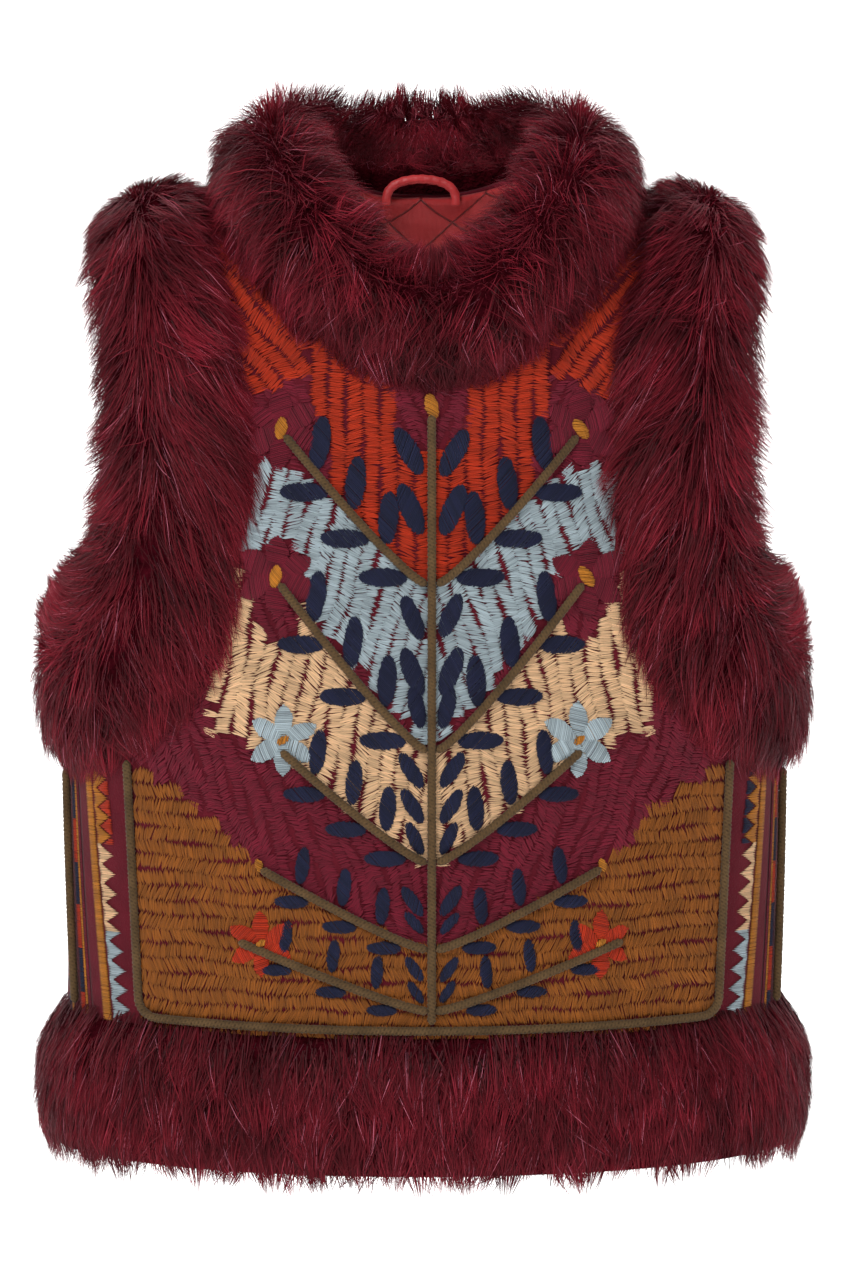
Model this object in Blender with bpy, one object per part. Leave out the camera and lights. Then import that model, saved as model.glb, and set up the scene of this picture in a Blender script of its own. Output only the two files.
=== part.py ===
"""Embroidered vest with fur collar, fur armholes and a fur hem band.

Metres, +Z up. The origin lies between the shoulders, level with the back neck
seam, where the wearer's shoulders carry the vest. The front faces -Y.
Angles round the body run from 0 at the centre front to 180 at the centre back.
"""
import math

import bmesh
import bpy
from mathutils import Vector
from mathutils.bvhtree import BVHTree
from mathutils.geometry import barycentric_transform

# Driving dimensions of the filled-out form
HEM_HEIGHT = -0.525
CHEST_HEIGHT = -0.190
UNDERARM_HEIGHT = -0.2534
RIDGE_HEIGHT = 0.034
SHOULDER_DROP = 0.066
SHOULDER_BEND = 1.4
HEM_HALF_WIDTH = 0.205
CHEST_HALF_WIDTH = 0.204
RIDGE_HALF_WIDTH = 0.190
HEM_FRONT_DEPTH = 0.118
CHEST_FRONT_DEPTH = 0.120
HEM_BACK_DEPTH = 0.118
CHEST_BACK_DEPTH = 0.118
CORNER_FULLNESS = 0.0226
HEM_DIP = 0.0095

# Cloth
WALL = 0.0025
LINING = 0.0020
QUILT_PUFF = 0.0030
SEAM_GAP = 0.0003
LINING_GAP = 0.0010

# Cut lines
SEAM_ANGLE_AT_HEM = 61.5
SEAM_ANGLE = 78.5
SHOULDER_TIP_ANGLE = 66.8
ARMHOLE_SCOOP_FRONT = 24.0
ARMHOLE_SCOOP_BACK = 40.0
NECK_CENTRE_Y = -0.0215
NECK_RADIUS = 0.0807

# Panel grids: columns are counted on one half of a panel
FRONT_COLUMNS = 9
BACK_EVEN_COLUMNS = 5
BACK_COLUMNS = 12
BACK_COLUMN_PITCH = 0.01945
ROWS_BELOW_UNDERARM = 6
ROWS_ABOVE_UNDERARM = 12

# Fur
COLLAR_STATIONS = 15
TRIM_STATIONS = 44
HEM_STATIONS = 44
FUR_SIDES = 12
FUR_LIFT = 0.0021
OVERHANG_SLOPE = 0.4
HEM_FUR_TOP = -0.4684
HEM_FUR_BOTTOM = -0.5490
HEM_FUR_DEPTH = 0.018

# Cords
CORD_RADIUS = 0.0025
CORD_LIFT = 0.0006
CORD_SPACING = 0.013
LOOP_RADIUS = 0.0033
LOOP_HALF_WIDTH = 0.0205
LOOP_RISE = 0.0075

# Fur cross-sections along the neckline, from the centre front to the centre back.
# Offsets run outwards on the cloth from the neckline, heights stand off the cloth.
COLLAR_SECTIONS = (
    # (fraction, offset, half_span, height, half_height)
    (0.00, 0.012, 0.033, 0.015, 0.023),
    (0.25, 0.012, 0.036, 0.018, 0.026),
    (0.50, 0.006, 0.034, 0.015, 0.023),
    (0.75, 0.006, 0.042, 0.023, 0.029),
    (1.00, 0.004, 0.048, 0.034, 0.038),
)

# Fur cross-sections round an armhole: underarm, up the front, shoulder, down the back.
ARMHOLE_SECTIONS = (
    # (fraction, reach_into_hole, reach_on_cloth, height)
    (0.00, 0.012, 0.078, 0.021),
    (0.07, 0.018, 0.088, 0.021),
    (0.13, 0.022, 0.092, 0.023),
    (0.19, 0.019, 0.078, 0.025),
    (0.27, 0.019, 0.066, 0.026),
    (0.36, 0.019, 0.058, 0.026),
    (0.44, 0.012, 0.055, 0.023),
    (0.50, 0.007, 0.055, 0.020),
    (0.56, 0.011, 0.052, 0.022),
    (0.64, 0.017, 0.054, 0.026),
    (0.74, 0.020, 0.060, 0.026),
    (0.87, 0.016, 0.076, 0.023),
    (1.00, 0.012, 0.078, 0.021),
)

# Branch cords of the front, right-hand arms; the left-hand arms mirror them.
BRANCHES = (
    # (foot_height, tip_across, tip_height)
    (-0.2270, 0.0800, -0.1470),
    (-0.3180, 0.0830, -0.2280),
    (-0.3800, 0.0820, -0.3200),
    (-0.4280, 0.0930, -0.3850),
    (-0.4620, 0.1050, -0.4250),
)
STEM_TOP = -0.136
STEM_FOOT = -0.4700

# Border cords
FRONT_BORDER_TOP_ACROSS = 0.1665
FRONT_BORDER_FOOT_ACROSS = 0.1600
FRONT_BORDER_TOP = -0.326
FRONT_BORDER_FOOT = -0.4640
FRONT_BORDER_CORNER = 0.010
BACK_BORDER_BEHIND_SEAM = 6.0
BACK_BORDER_TOP = -0.332
BACK_BORDER_FOOT = -0.4630

WOOL_RED = (0.19, 0.02, 0.04)
FUR_RED = (0.13, 0.012, 0.03)
SATIN_RED = (0.35, 0.035, 0.04)
CORD_OLIVE = (0.11, 0.075, 0.04)


def blend(low, high, fraction):
    return low + (high - low) * fraction


def table_value(table, fraction, column):
    """Smoothly read one column of a table whose first column is a fraction."""
    for low, high in zip(table, table[1:]):
        if fraction <= high[0]:
            share = (fraction - low[0]) / (high[0] - low[0])
            share = share * share * (3 - 2 * share)
            return blend(low[column], high[column], share)
    return table[-1][column]


# The form: level 0 is the hem, 1 the chest and 2 the shoulder ridge
def across_factor(angle):
    turn = math.radians(angle)
    return (math.sin(turn) + CORNER_FULLNESS * math.sin(3 * turn)) / (1 - CORNER_FULLNESS)


def depth_factor(angle):
    turn = math.radians(angle)
    return (math.cos(turn) - CORNER_FULLNESS * math.cos(3 * turn)) / (1 - CORNER_FULLNESS)


def form_point(angle, level):
    """A point of the form at an angle from the centre front, positive towards +X."""
    factor = across_factor(angle)
    facing = depth_factor(angle)
    if level <= 1:
        share = max(level, 0.0)
        share = share * share * (3 - 2 * share)
        half_width = blend(HEM_HALF_WIDTH, CHEST_HALF_WIDTH, share)
        front = blend(HEM_FRONT_DEPTH, CHEST_FRONT_DEPTH, share)
        back = blend(HEM_BACK_DEPTH, CHEST_BACK_DEPTH, share)
        height = blend(HEM_HEIGHT, CHEST_HEIGHT, level)
        dip = HEM_DIP * max(facing, 0.0) ** 2 * max(0.0, 1 - level / underarm_level())
        height -= dip
    else:
        turn = (level - 1) * math.pi / 2
        half_width = blend(RIDGE_HALF_WIDTH, CHEST_HALF_WIDTH, math.cos(turn))
        front = CHEST_FRONT_DEPTH * math.cos(turn)
        back = CHEST_BACK_DEPTH * math.cos(turn)
        height = CHEST_HEIGHT + (RIDGE_HEIGHT - CHEST_HEIGHT) * math.sin(turn)
        height -= SHOULDER_DROP * abs(factor) ** SHOULDER_BEND * math.sin(turn) ** 2
    depth = front if facing > 0 else back
    return Vector((half_width * factor, -depth * facing, height))


def underarm_level():
    return (UNDERARM_HEIGHT - HEM_HEIGHT) / (CHEST_HEIGHT - HEM_HEIGHT)


def form_normal(angle, level):
    step = 0.01
    level = min(level, 1.998)
    round_way = form_point(angle + step, level) - form_point(angle - step, level)
    up_way = form_point(angle, level + step * 0.1) - form_point(angle, level - step * 0.1)
    return round_way.cross(up_way).normalized()


def triangulated_form():
    """The whole form as a fine mesh, to walk over from the cut edges."""
    turns = 144
    levels = 110
    points = []
    normals = []
    for row in range(levels + 1):
        level = -0.15 + 2.149 * row / levels
        for column in range(turns):
            angle = 360 * column / turns - 180
            points.append(form_point(angle, level))
            normals.append(form_normal(angle, level))
    triangles = []
    for row in range(levels):
        for column in range(turns):
            a = row * turns + column
            b = row * turns + (column + 1) % turns
            triangles.append((a, b, b + turns))
            triangles.append((a, b + turns, a + turns))
    tree = BVHTree.FromPolygons(points, triangles)
    return tree, points, normals, triangles


FORM_TREE, FORM_POINTS, FORM_NORMALS, FORM_TRIANGLES = triangulated_form()


def on_form(point):
    """The nearest place on the form, and the smooth normal there."""
    place, _, index, _ = FORM_TREE.find_nearest(point)
    a, b, c = FORM_TRIANGLES[index]
    normal = barycentric_transform(
        place,
        FORM_POINTS[a], FORM_POINTS[b], FORM_POINTS[c],
        FORM_NORMALS[a], FORM_NORMALS[b], FORM_NORMALS[c],
    )
    return place, normal.normalized()


def walk(start, way, distance):
    """Walk over the form from a start, and give the place and normal reached."""
    place, normal = on_form(start)
    steps = max(1, int(abs(distance) / 0.005))
    for _ in range(steps):
        flat_way = (way - normal * way.dot(normal)).normalized()
        place, normal = on_form(place + flat_way * (distance / steps))
        way = flat_way
    return place, normal


# Cut lines of the panels
def scoop(share):
    """Hollow of the armhole's edge: round at the underarm, fullest a quarter way up."""
    fullest = 0.5 * 0.75 ** 1.5
    return math.sqrt(share) * (1 - share) ** 1.5 / fullest


def front_edge_angle(share):
    """Armhole edge of the front, with share 0 at the underarm and 1 at the ridge."""
    return blend(SEAM_ANGLE, SHOULDER_TIP_ANGLE, share) - ARMHOLE_SCOOP_FRONT * scoop(share)


def back_edge_angle(share):
    tip = 180 - SHOULDER_TIP_ANGLE
    return blend(SEAM_ANGLE, tip, share) + ARMHOLE_SCOOP_BACK * scoop(share)


def seam_angle(level):
    """The side seam leans forwards towards the hem."""
    share = min(max(level / underarm_level(), 0.0), 1.0)
    return blend(SEAM_ANGLE_AT_HEM, SEAM_ANGLE, share)


def edge_share(level):
    return min(max((level - underarm_level()) / (2 - underarm_level()), 0.0), 1.0)


def angle_for_across(across, level):
    """Front angle at which the form has a given distance from the middle."""
    low = 0.0
    high = 88.0
    for _ in range(30):
        middle = (low + high) / 2
        if form_point(middle, level).x < across:
            low = middle
        else:
            high = middle
    return low


def front_column_angle(column, level):
    share = edge_share(level)
    edge = front_edge_angle(share) if share > 0 else seam_angle(level)
    return edge * column / FRONT_COLUMNS


def back_column_angle(column, level):
    share = edge_share(level)
    edge = 180 - (back_edge_angle(share) if share > 0 else seam_angle(level))
    even_edge = angle_for_across(BACK_EVEN_COLUMNS * BACK_COLUMN_PITCH, level)
    if column <= BACK_EVEN_COLUMNS:
        inner = angle_for_across(column * BACK_COLUMN_PITCH, level)
    else:
        share = (column - BACK_EVEN_COLUMNS) / (BACK_COLUMNS - BACK_EVEN_COLUMNS)
        inner = blend(even_edge, edge, share)
    return 180 - inner


def neck_level(column_angle, column):
    """Level at which a column meets the round neckline, or the ridge beside it."""
    def inside(level):
        point = form_point(column_angle(column, level), level)
        return math.hypot(point.x, point.y - NECK_CENTRE_Y) < NECK_RADIUS

    top = 1.9995
    if not inside(top):
        return top
    low = 1.0
    high = top
    for _ in range(30):
        middle = (low + high) / 2
        if inside(middle):
            high = middle
        else:
            low = middle
    return low


def panel_grid(column_angle, columns, rows_below):
    """Rows of (place, normal) from the hem to the top edge, left to right."""
    tops = [neck_level(column_angle, column) for column in range(columns + 1)]
    rows = []
    for row in range(rows_below + ROWS_ABOVE_UNDERARM + 1):
        places = []
        for signed in range(-columns, columns + 1):
            column = abs(signed)
            side = -1 if signed < 0 else 1
            if row <= rows_below:
                level = underarm_level() * row / rows_below
            else:
                share = (row - rows_below) / ROWS_ABOVE_UNDERARM
                level = blend(underarm_level(), tops[column], share)
            angle = column_angle(column, level) * side
            places.append((form_point(angle, level), form_normal(angle, level)))
        rows.append(places)
    return rows


# Mesh makers
def make_material(name, color, roughness):
    material = bpy.data.materials.new(name)
    material.use_nodes = True
    shader = material.node_tree.nodes["Principled BSDF"]
    shader.inputs["Base Color"].default_value = (*color, 1)
    shader.inputs["Roughness"].default_value = roughness
    return material


def make_object(name, vertices, faces, color, roughness):
    mesh = bpy.data.meshes.new(name)
    mesh.from_pydata([tuple(vertex) for vertex in vertices], [], faces)
    mesh.update()
    body = bmesh.new()
    body.from_mesh(mesh)
    bmesh.ops.recalc_face_normals(body, faces=body.faces)
    body.to_mesh(mesh)
    body.free()
    mesh.materials.append(make_material(name + "_cloth", color, roughness))
    obj = bpy.data.objects.new(name, mesh)
    PARTS.objects.link(obj)
    return obj


def thick_sheet(name, outer, inner, color, roughness, quilted=True):
    """Close two grids of like rows into one wall.

    The diagonals join the even points of a quilted wall, where its stitch lines run,
    and are the shorter ones of a plain wall.
    """
    rows = len(outer)
    columns = len(outer[0])
    vertices = [point for grid in (outer, inner) for row in grid for point in row]
    faces = []

    def index(layer, row, column):
        return (layer * rows + row) * columns + column

    for layer in (0, 1):
        for row in range(rows - 1):
            for column in range(columns - 1):
                a = index(layer, row, column)
                b = index(layer, row, column + 1)
                c = index(layer, row + 1, column + 1)
                d = index(layer, row + 1, column)
                even = (row + column) % 2 == 0
                if not quilted:
                    across = outer[row][column] - outer[row + 1][column + 1]
                    even = across.length < (outer[row][column + 1] - outer[row + 1][column]).length
                pair = [(a, b, c), (a, c, d)] if even else [(a, b, d), (b, c, d)]
                if layer:
                    pair = [tuple(reversed(face)) for face in pair]
                faces += pair
    rim = [(0, column) for column in range(columns - 1)]
    rim += [(row, columns - 1) for row in range(rows - 1)]
    rim += [(rows - 1, column) for column in range(columns - 1, 0, -1)]
    rim += [(row, 0) for row in range(rows - 1, 0, -1)]
    for here, there in zip(rim, rim[1:] + rim[:1]):
        faces.append((index(0, *here), index(1, *here), index(1, *there), index(0, *there)))
    return make_object(name, vertices, faces, color, roughness)


def offset_grid(grid, inwards):
    return [[place - normal * inwards for place, normal in row] for row in grid]


def open_seams(grid, toward_front):
    """Draw a panel's side and shoulder edges back by half the seam gap."""
    half = SEAM_GAP / 2
    opened = []
    for row in grid:
        new_row = []
        for place, normal in row:
            limit = -half if toward_front else half
            if place.z > CHEST_HEIGHT:
                y = min(place.y, limit) if toward_front else max(place.y, limit)
                place = Vector((place.x, y, place.z))
            new_row.append((place, normal))
        for position, neighbour in ((0, 1), (-1, -2)):
            place, normal = new_row[position]
            if place.z < UNDERARM_HEIGHT + 0.001:
                way = (new_row[neighbour][0] - place).normalized()
                new_row[position] = (place + way * half, normal)
        opened.append(new_row)
    return opened


def make_front():
    grid = open_seams(panel_grid(front_column_angle, FRONT_COLUMNS, ROWS_BELOW_UNDERARM), True)
    outer = offset_grid(grid, 0)
    thick_sheet("front", outer, offset_grid(grid, WALL), WOOL_RED, 0.9, quilted=False)


def mirrored_order(grid):
    """Back panel rows, running from the wearer's right side to the left."""
    return [list(reversed(row)) for row in grid]


def make_back():
    grid = panel_grid(back_column_angle, BACK_COLUMNS, ROWS_BELOW_UNDERARM)
    grid = mirrored_order(open_seams(grid, False))
    thick_sheet("back", offset_grid(grid, 0), offset_grid(grid, WALL), WOOL_RED, 0.9)


def make_back_lining():
    """Quilted lining: its plain side follows the back wall, facet for facet."""
    grid = panel_grid(back_column_angle, BACK_COLUMNS, ROWS_BELOW_UNDERARM)
    grid = mirrored_order(open_seams(grid, False))
    plain = offset_grid(grid, WALL + LINING_GAP)
    normals = [[normal for _, normal in row] for row in grid]
    fine_plain = []
    fine_normals = []
    for row in range(ROWS_BELOW_UNDERARM):
        fine_plain.append(plain[row])
        fine_normals.append(normals[row])
        fine_plain.append([(a + b) / 2 for a, b in zip(plain[row], plain[row + 1])])
        fine_normals.append([(a + b).normalized() for a, b in zip(normals[row], normals[row + 1])])
    fine_plain += plain[ROWS_BELOW_UNDERARM:]
    fine_normals += normals[ROWS_BELOW_UNDERARM:]
    quilted = []
    for row, (places, ways) in enumerate(zip(fine_plain, fine_normals)):
        new_row = []
        for column, (place, normal) in enumerate(zip(places, ways)):
            on_rim = row == 0 or row == len(fine_plain) - 1 or column in (0, len(places) - 1)
            puffed = (row + column) % 2 == 1 and not on_rim
            thickness = LINING + (QUILT_PUFF if puffed else 0)
            new_row.append(place - normal * thickness)
        quilted.append(new_row)
    thick_sheet("back_lining", fine_plain, quilted, SATIN_RED, 0.35)


def loft(name, sections, closed, color):
    """Join rings of points into one body, closed in a loop or capped at its ends."""
    count = len(sections[0])
    vertices = [point for section in sections for point in section]
    faces = []
    last = len(sections) if closed else len(sections) - 1
    for row in range(last):
        following = (row + 1) % len(sections)
        for side in range(count):
            a = row * count + side
            b = row * count + (side + 1) % count
            c = following * count + (side + 1) % count
            d = following * count + side
            faces += [(a, b, c), (a, c, d)]
    if not closed:
        faces.append(tuple(range(count)))
        faces.append(tuple(range(len(vertices) - count, len(vertices))))
    return make_object(name, vertices, faces, color, 0.8)


def fur_section(place, normal, away, offset, half_span, height, half_height):
    """A round fur section over the cloth, flat below, that leans over the cut edge."""
    section = []
    for side in range(FUR_SIDES):
        turn = 2 * math.pi * (side + 0.5) / FUR_SIDES
        along = offset + half_span * math.cos(turn)
        lift = FUR_LIFT + OVERHANG_SLOPE * max(-along, 0.0)
        above = max(height + half_height * math.sin(turn), lift)
        if along > 0:
            base, way = walk(place, away, along)
        else:
            base = place + away * along
            way = normal
        section.append(base + way * above)
    return section


def neckline_stations():
    """Right half of the neckline on the cloth, from the centre front to the back."""
    stations = []
    for step in range(COLLAR_STATIONS + 1):
        turn = math.pi * (step / COLLAR_STATIONS - 0.5)
        across = NECK_RADIUS * math.cos(turn)
        depth = NECK_CENTRE_Y + NECK_RADIUS * math.sin(turn)
        hit = FORM_TREE.ray_cast(Vector((across, depth, 0.2)), Vector((0, 0, -1)))
        stations.append(on_form(hit[0]))
    return stations


def make_collar():
    stations = neckline_stations()
    half = []
    for step, (place, normal) in enumerate(stations):
        fraction = step / COLLAR_STATIONS
        if step in (0, COLLAR_STATIONS):
            tangent = Vector((1, 0, 0)) if step == 0 else Vector((-1, 0, 0))
        else:
            tangent = (stations[step + 1][0] - stations[step - 1][0]).normalized()
        away = tangent.cross(normal).normalized()
        sizes = [table_value(COLLAR_SECTIONS, fraction, column) for column in (1, 2, 3, 4)]
        half.append(fur_section(place, normal, away, *sizes))
    ends_apart = 0.0006
    half[0] = [Vector((ends_apart, point.y, point.z)) for point in half[0]]
    mirrored = []
    for section in reversed(half[:-1]):
        mirrored.append([Vector((-point.x, point.y, point.z)) for point in section])
    loft("collar", half + mirrored, False, FUR_RED)


def armhole_stations():
    """Edge of the right armhole: from the underarm up the front and down the back."""
    stations = []
    for step in range(TRIM_STATIONS):
        climb = 1 - abs(1 - 2 * step / TRIM_STATIONS)
        share = 1 - math.cos(climb * math.pi / 2)
        level = min(blend(underarm_level(), 2, share), 1.998)
        on_front = step <= TRIM_STATIONS / 2
        angle = front_edge_angle(share) if on_front else back_edge_angle(share)
        if abs(step - TRIM_STATIONS / 2) < 0.5:
            place = form_point(angle, level)
            place = Vector((place.x, 0, place.z))
            stations.append(on_form(place))
        else:
            stations.append((form_point(angle, level), form_normal(angle, level)))
    return stations


def make_armhole_trims():
    stations = armhole_stations()
    sections = []
    for step, (place, normal) in enumerate(stations):
        before = stations[step - 1][0]
        after = stations[(step + 1) % TRIM_STATIONS][0]
        tangent = (after - before).normalized()
        away = normal.cross(tangent).normalized()
        fraction = step / TRIM_STATIONS
        into = table_value(ARMHOLE_SECTIONS, fraction, 1)
        onto = table_value(ARMHOLE_SECTIONS, fraction, 2)
        top = table_value(ARMHOLE_SECTIONS, fraction, 3)
        sections.append(fur_section(
            place, normal, away, (onto - into) / 2, (onto + into) / 2, top * 0.40, top * 0.60))
    for side, name in ((1, "armhole_trim_right"), (-1, "armhole_trim_left")):
        placed = [[Vector((point.x * side, point.y, point.z)) for point in section]
                  for section in sections]
        loft(name, placed, True, FUR_RED)


def make_hem_band():
    """Fur band round the hem; its hair hangs past the cloth's lower edge."""
    levels_of_profile = (
        # (share_of_height, share_of_depth)
        (0.00, 0.10),
        (0.06, 0.62),
        (0.30, 0.98),
        (0.62, 1.00),
        (0.88, 0.86),
        (1.00, 0.50),
        (0.96, 0.03),
    )
    gap = SEAM_GAP * 4
    sections = []
    for step in range(HEM_STATIONS):
        angle = 360 * step / HEM_STATIONS - 180
        dip = HEM_DIP * max(depth_factor(angle), 0.0) ** 2
        section = []
        for share, depth in levels_of_profile:
            height = blend(HEM_FUR_TOP, HEM_FUR_BOTTOM, share)
            level = (height - HEM_HEIGHT) / (CHEST_HEIGHT - HEM_HEIGHT)
            place = form_point(angle, level)
            place.z = height - dip
            normal = form_normal(angle, level)
            normal = Vector((normal.x, normal.y, 0)).normalized()
            section.append(place + normal * max(gap, HEM_FUR_DEPTH * depth))
        top_level = (HEM_FUR_TOP - 0.001 - HEM_HEIGHT) / (CHEST_HEIGHT - HEM_HEIGHT)
        inner_top = form_point(angle, top_level)
        inner_top.z = HEM_FUR_TOP - 0.001 - dip
        section.append(inner_top + normal * gap)
        sections.append(section)
    loft("hem_band", sections, True, FUR_RED)


# Cords
def surface_by_front_view(across, height):
    """The front's surface point straight behind a place of the front view."""
    hit = FORM_TREE.ray_cast(Vector((across, -0.5, height)), Vector((0, 1, 0)))
    return on_form(hit[0])


def spaced(points, spacing):
    """Points at an even spacing along a run of straight stretches."""
    result = []
    for start, end in zip(points, points[1:]):
        length = math.dist(start, end)
        count = max(1, round(length / spacing))
        for step in range(count):
            share = step / count
            result.append(tuple(blend(a, b, share) for a, b in zip(start, end)))
    result.append(points[-1])
    return result


def tube(name, points, radius, color, roughness):
    curve = bpy.data.curves.new(name, "CURVE")
    curve.dimensions = "3D"
    curve.bevel_depth = radius
    curve.bevel_resolution = 2
    curve.use_fill_caps = True
    spline = curve.splines.new("POLY")
    spline.points.add(len(points) - 1)
    for target, point in zip(spline.points, points):
        target.co = (*point, 1)
    curve.materials.append(make_material(name + "_cord", color, roughness))
    obj = bpy.data.objects.new(name, curve)
    PARTS.objects.link(obj)
    return obj


def front_cord(name, outline):
    """A cord laid on the front along an outline of (across, height) pairs."""
    route = []
    for across, height in outline:
        place, normal = surface_by_front_view(across, height)
        route.append(place + normal * (CORD_RADIUS + CORD_LIFT))
    tube(name, route, CORD_RADIUS, CORD_OLIVE, 0.85)


def make_front_cords():
    front_cord("stem_cord", spaced([(0, STEM_FOOT), (0, STEM_TOP)], CORD_SPACING))
    clear_of_stem = CORD_RADIUS * 2 + 0.0008
    for number, (foot, across, tip) in enumerate(BRANCHES, 1):
        for side, word in ((1, "right"), (-1, "left")):
            outline = []
            for step in range(9):
                share = step / 8
                x = blend(clear_of_stem, across, share)
                curved = share ** 1.15
                outline.append((side * x, blend(foot, tip, curved)))
            front_cord(f"branch_{number}_{word}", outline)
    make_front_border()


def make_front_border():
    right = FRONT_BORDER_FOOT_ACROSS
    corner = FRONT_BORDER_CORNER
    foot = FRONT_BORDER_FOOT
    top = (FRONT_BORDER_TOP_ACROSS, FRONT_BORDER_TOP)
    half = spaced([top, (right, foot + corner)], CORD_SPACING)
    for step in range(1, 4):
        turn = math.pi / 2 * step / 4
        half.append((right - corner * (1 - math.cos(turn)), foot + corner * (1 - math.sin(turn))))
    half += spaced([(right - corner, foot), (0, foot)], CORD_SPACING)
    outline = half + [(-x, z) for x, z in reversed(half[:-1])]
    dipped = []
    for across, height in outline:
        nearness = max(0.0, 1 - (height - foot) / (FRONT_BORDER_TOP - foot))
        facing = max(0.0, 1 - (across / HEM_HALF_WIDTH) ** 2)
        dipped.append((across, height - HEM_DIP * facing * nearness))
    front_cord("front_border", dipped)


def make_back_borders():
    """Border cords just behind the side seams, on the back panel's edges."""
    for side, word in ((1, "right"), (-1, "left")):
        route = []
        for _, height in spaced([(0, BACK_BORDER_TOP), (0, BACK_BORDER_FOOT)], 2 * CORD_SPACING):
            level = (height - HEM_HEIGHT) / (CHEST_HEIGHT - HEM_HEIGHT)
            angle = (seam_angle(level) + BACK_BORDER_BEHIND_SEAM) * side
            lifted = form_normal(angle, level) * (CORD_RADIUS + CORD_LIFT)
            route.append(form_point(angle, level) + lifted)
        tube(f"back_border_{word}", route, CORD_RADIUS, CORD_OLIVE, 0.85)


def make_hanger_loop():
    """Satin loop inside the back neck, just in front of the lining's top edge."""
    place, _ = neckline_stations()[-1]
    depth = place.y - 0.0115
    route = []
    for step in range(13):
        turn = math.pi * step / 12
        x = LOOP_HALF_WIDTH * math.cos(turn)
        z = place.z - 0.008 + (LOOP_RISE + 0.008) * math.sin(turn) ** 0.6
        route.append((x, depth, z))
    tube("hanger_loop", route, LOOP_RADIUS, SATIN_RED, 0.4)


for old in list(bpy.data.objects):
    bpy.data.objects.remove(old, do_unlink=True)

PARTS = bpy.data.collections.new("embroidered_vest")
bpy.context.scene.collection.children.link(PARTS)

make_front()
make_back()
make_back_lining()
make_collar()
make_armhole_trims()
make_hem_band()
make_front_cords()
make_back_borders()
make_hanger_loop()
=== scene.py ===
"""Looks of an embroidered vest: stitched wool, quilted satin, twisted cords and fur."""

import math

import bpy
import numpy as np
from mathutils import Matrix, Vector
from mathutils.bvhtree import BVHTree
from mathutils.geometry import barycentric_transform


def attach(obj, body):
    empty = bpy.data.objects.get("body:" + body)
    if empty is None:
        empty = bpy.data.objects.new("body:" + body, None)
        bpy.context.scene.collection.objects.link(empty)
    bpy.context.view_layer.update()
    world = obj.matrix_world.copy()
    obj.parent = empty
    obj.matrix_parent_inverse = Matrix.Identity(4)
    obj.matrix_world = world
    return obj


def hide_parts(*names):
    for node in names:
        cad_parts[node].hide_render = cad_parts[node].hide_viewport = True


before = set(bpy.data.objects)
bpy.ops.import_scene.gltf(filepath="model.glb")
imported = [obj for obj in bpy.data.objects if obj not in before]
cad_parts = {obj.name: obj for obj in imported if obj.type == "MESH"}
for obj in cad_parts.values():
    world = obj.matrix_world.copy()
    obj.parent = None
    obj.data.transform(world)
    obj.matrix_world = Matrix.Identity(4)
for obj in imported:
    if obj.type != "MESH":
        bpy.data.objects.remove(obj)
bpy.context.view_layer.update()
BODY = "root"

# The form of the torso, as in the part's source, in metres and degrees
HEM_HEIGHT = -0.525
CHEST_HEIGHT = -0.190
UNDERARM_HEIGHT = -0.2534
RIDGE_HEIGHT = 0.034
SHOULDER_DROP = 0.066
SHOULDER_BEND = 1.4
HEM_HALF_WIDTH = 0.205
CHEST_HALF_WIDTH = 0.204
RIDGE_HALF_WIDTH = 0.190
FRONT_DEPTHS = (0.118, 0.120)  # at the hem and at the chest
BACK_DEPTHS = (0.118, 0.118)
CORNER_FULLNESS = 0.0226
HEM_DIP = 0.0095
WALL = 0.0025
LINING = 0.0020
QUILT_PUFF = 0.0030
SEAM_GAP = 0.0003
LINING_GAP = 0.0010
SEAM_ANGLE_AT_HEM = 61.5
SEAM_ANGLE = 78.5
SHOULDER_TIP_ANGLE = 66.8
ARMHOLE_SCOOP_FRONT = 24.0
ARMHOLE_SCOOP_BACK = 40.0
NECK_CENTRE_Y = -0.0215
NECK_RADIUS = 0.0807
BACK_EVEN_COLUMNS = 5
BACK_COLUMNS = 12
BACK_COLUMN_PITCH = 0.01945
TOP_LEVEL = 1.9995
OVERHANG_SLOPE = 0.4
FUR_LIFT = 0.0021
HEM_FUR_TOP = -0.4684
HEM_FUR_BOTTOM = -0.5490
HEM_FUR_DEPTH = 0.018
CORD_RADIUS = 0.0025
CORD_LIFT = 0.0006
LOOP_RADIUS = 0.0033
UNDERARM_LEVEL = (UNDERARM_HEIGHT - HEM_HEIGHT) / (CHEST_HEIGHT - HEM_HEIGHT)

COLLAR_SECTIONS = np.array((
    # (fraction, offset, half_span, height, half_height)
    (0.00, 0.012, 0.033, 0.015, 0.023),
    (0.25, 0.012, 0.036, 0.018, 0.026),
    (0.50, 0.006, 0.034, 0.015, 0.023),
    (0.75, 0.006, 0.042, 0.023, 0.029),
    (1.00, 0.004, 0.048, 0.034, 0.038),
))
ARMHOLE_SECTIONS = np.array((
    # (fraction, reach_into_hole, reach_on_cloth, height)
    (0.00, 0.012, 0.078, 0.021),
    (0.07, 0.018, 0.088, 0.021),
    (0.13, 0.022, 0.092, 0.023),
    (0.19, 0.019, 0.078, 0.025),
    (0.27, 0.019, 0.066, 0.026),
    (0.36, 0.019, 0.058, 0.026),
    (0.44, 0.012, 0.055, 0.023),
    (0.50, 0.007, 0.055, 0.020),
    (0.56, 0.011, 0.052, 0.022),
    (0.64, 0.017, 0.054, 0.026),
    (0.74, 0.020, 0.060, 0.026),
    (0.87, 0.016, 0.076, 0.023),
    (1.00, 0.012, 0.078, 0.021),
))
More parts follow.
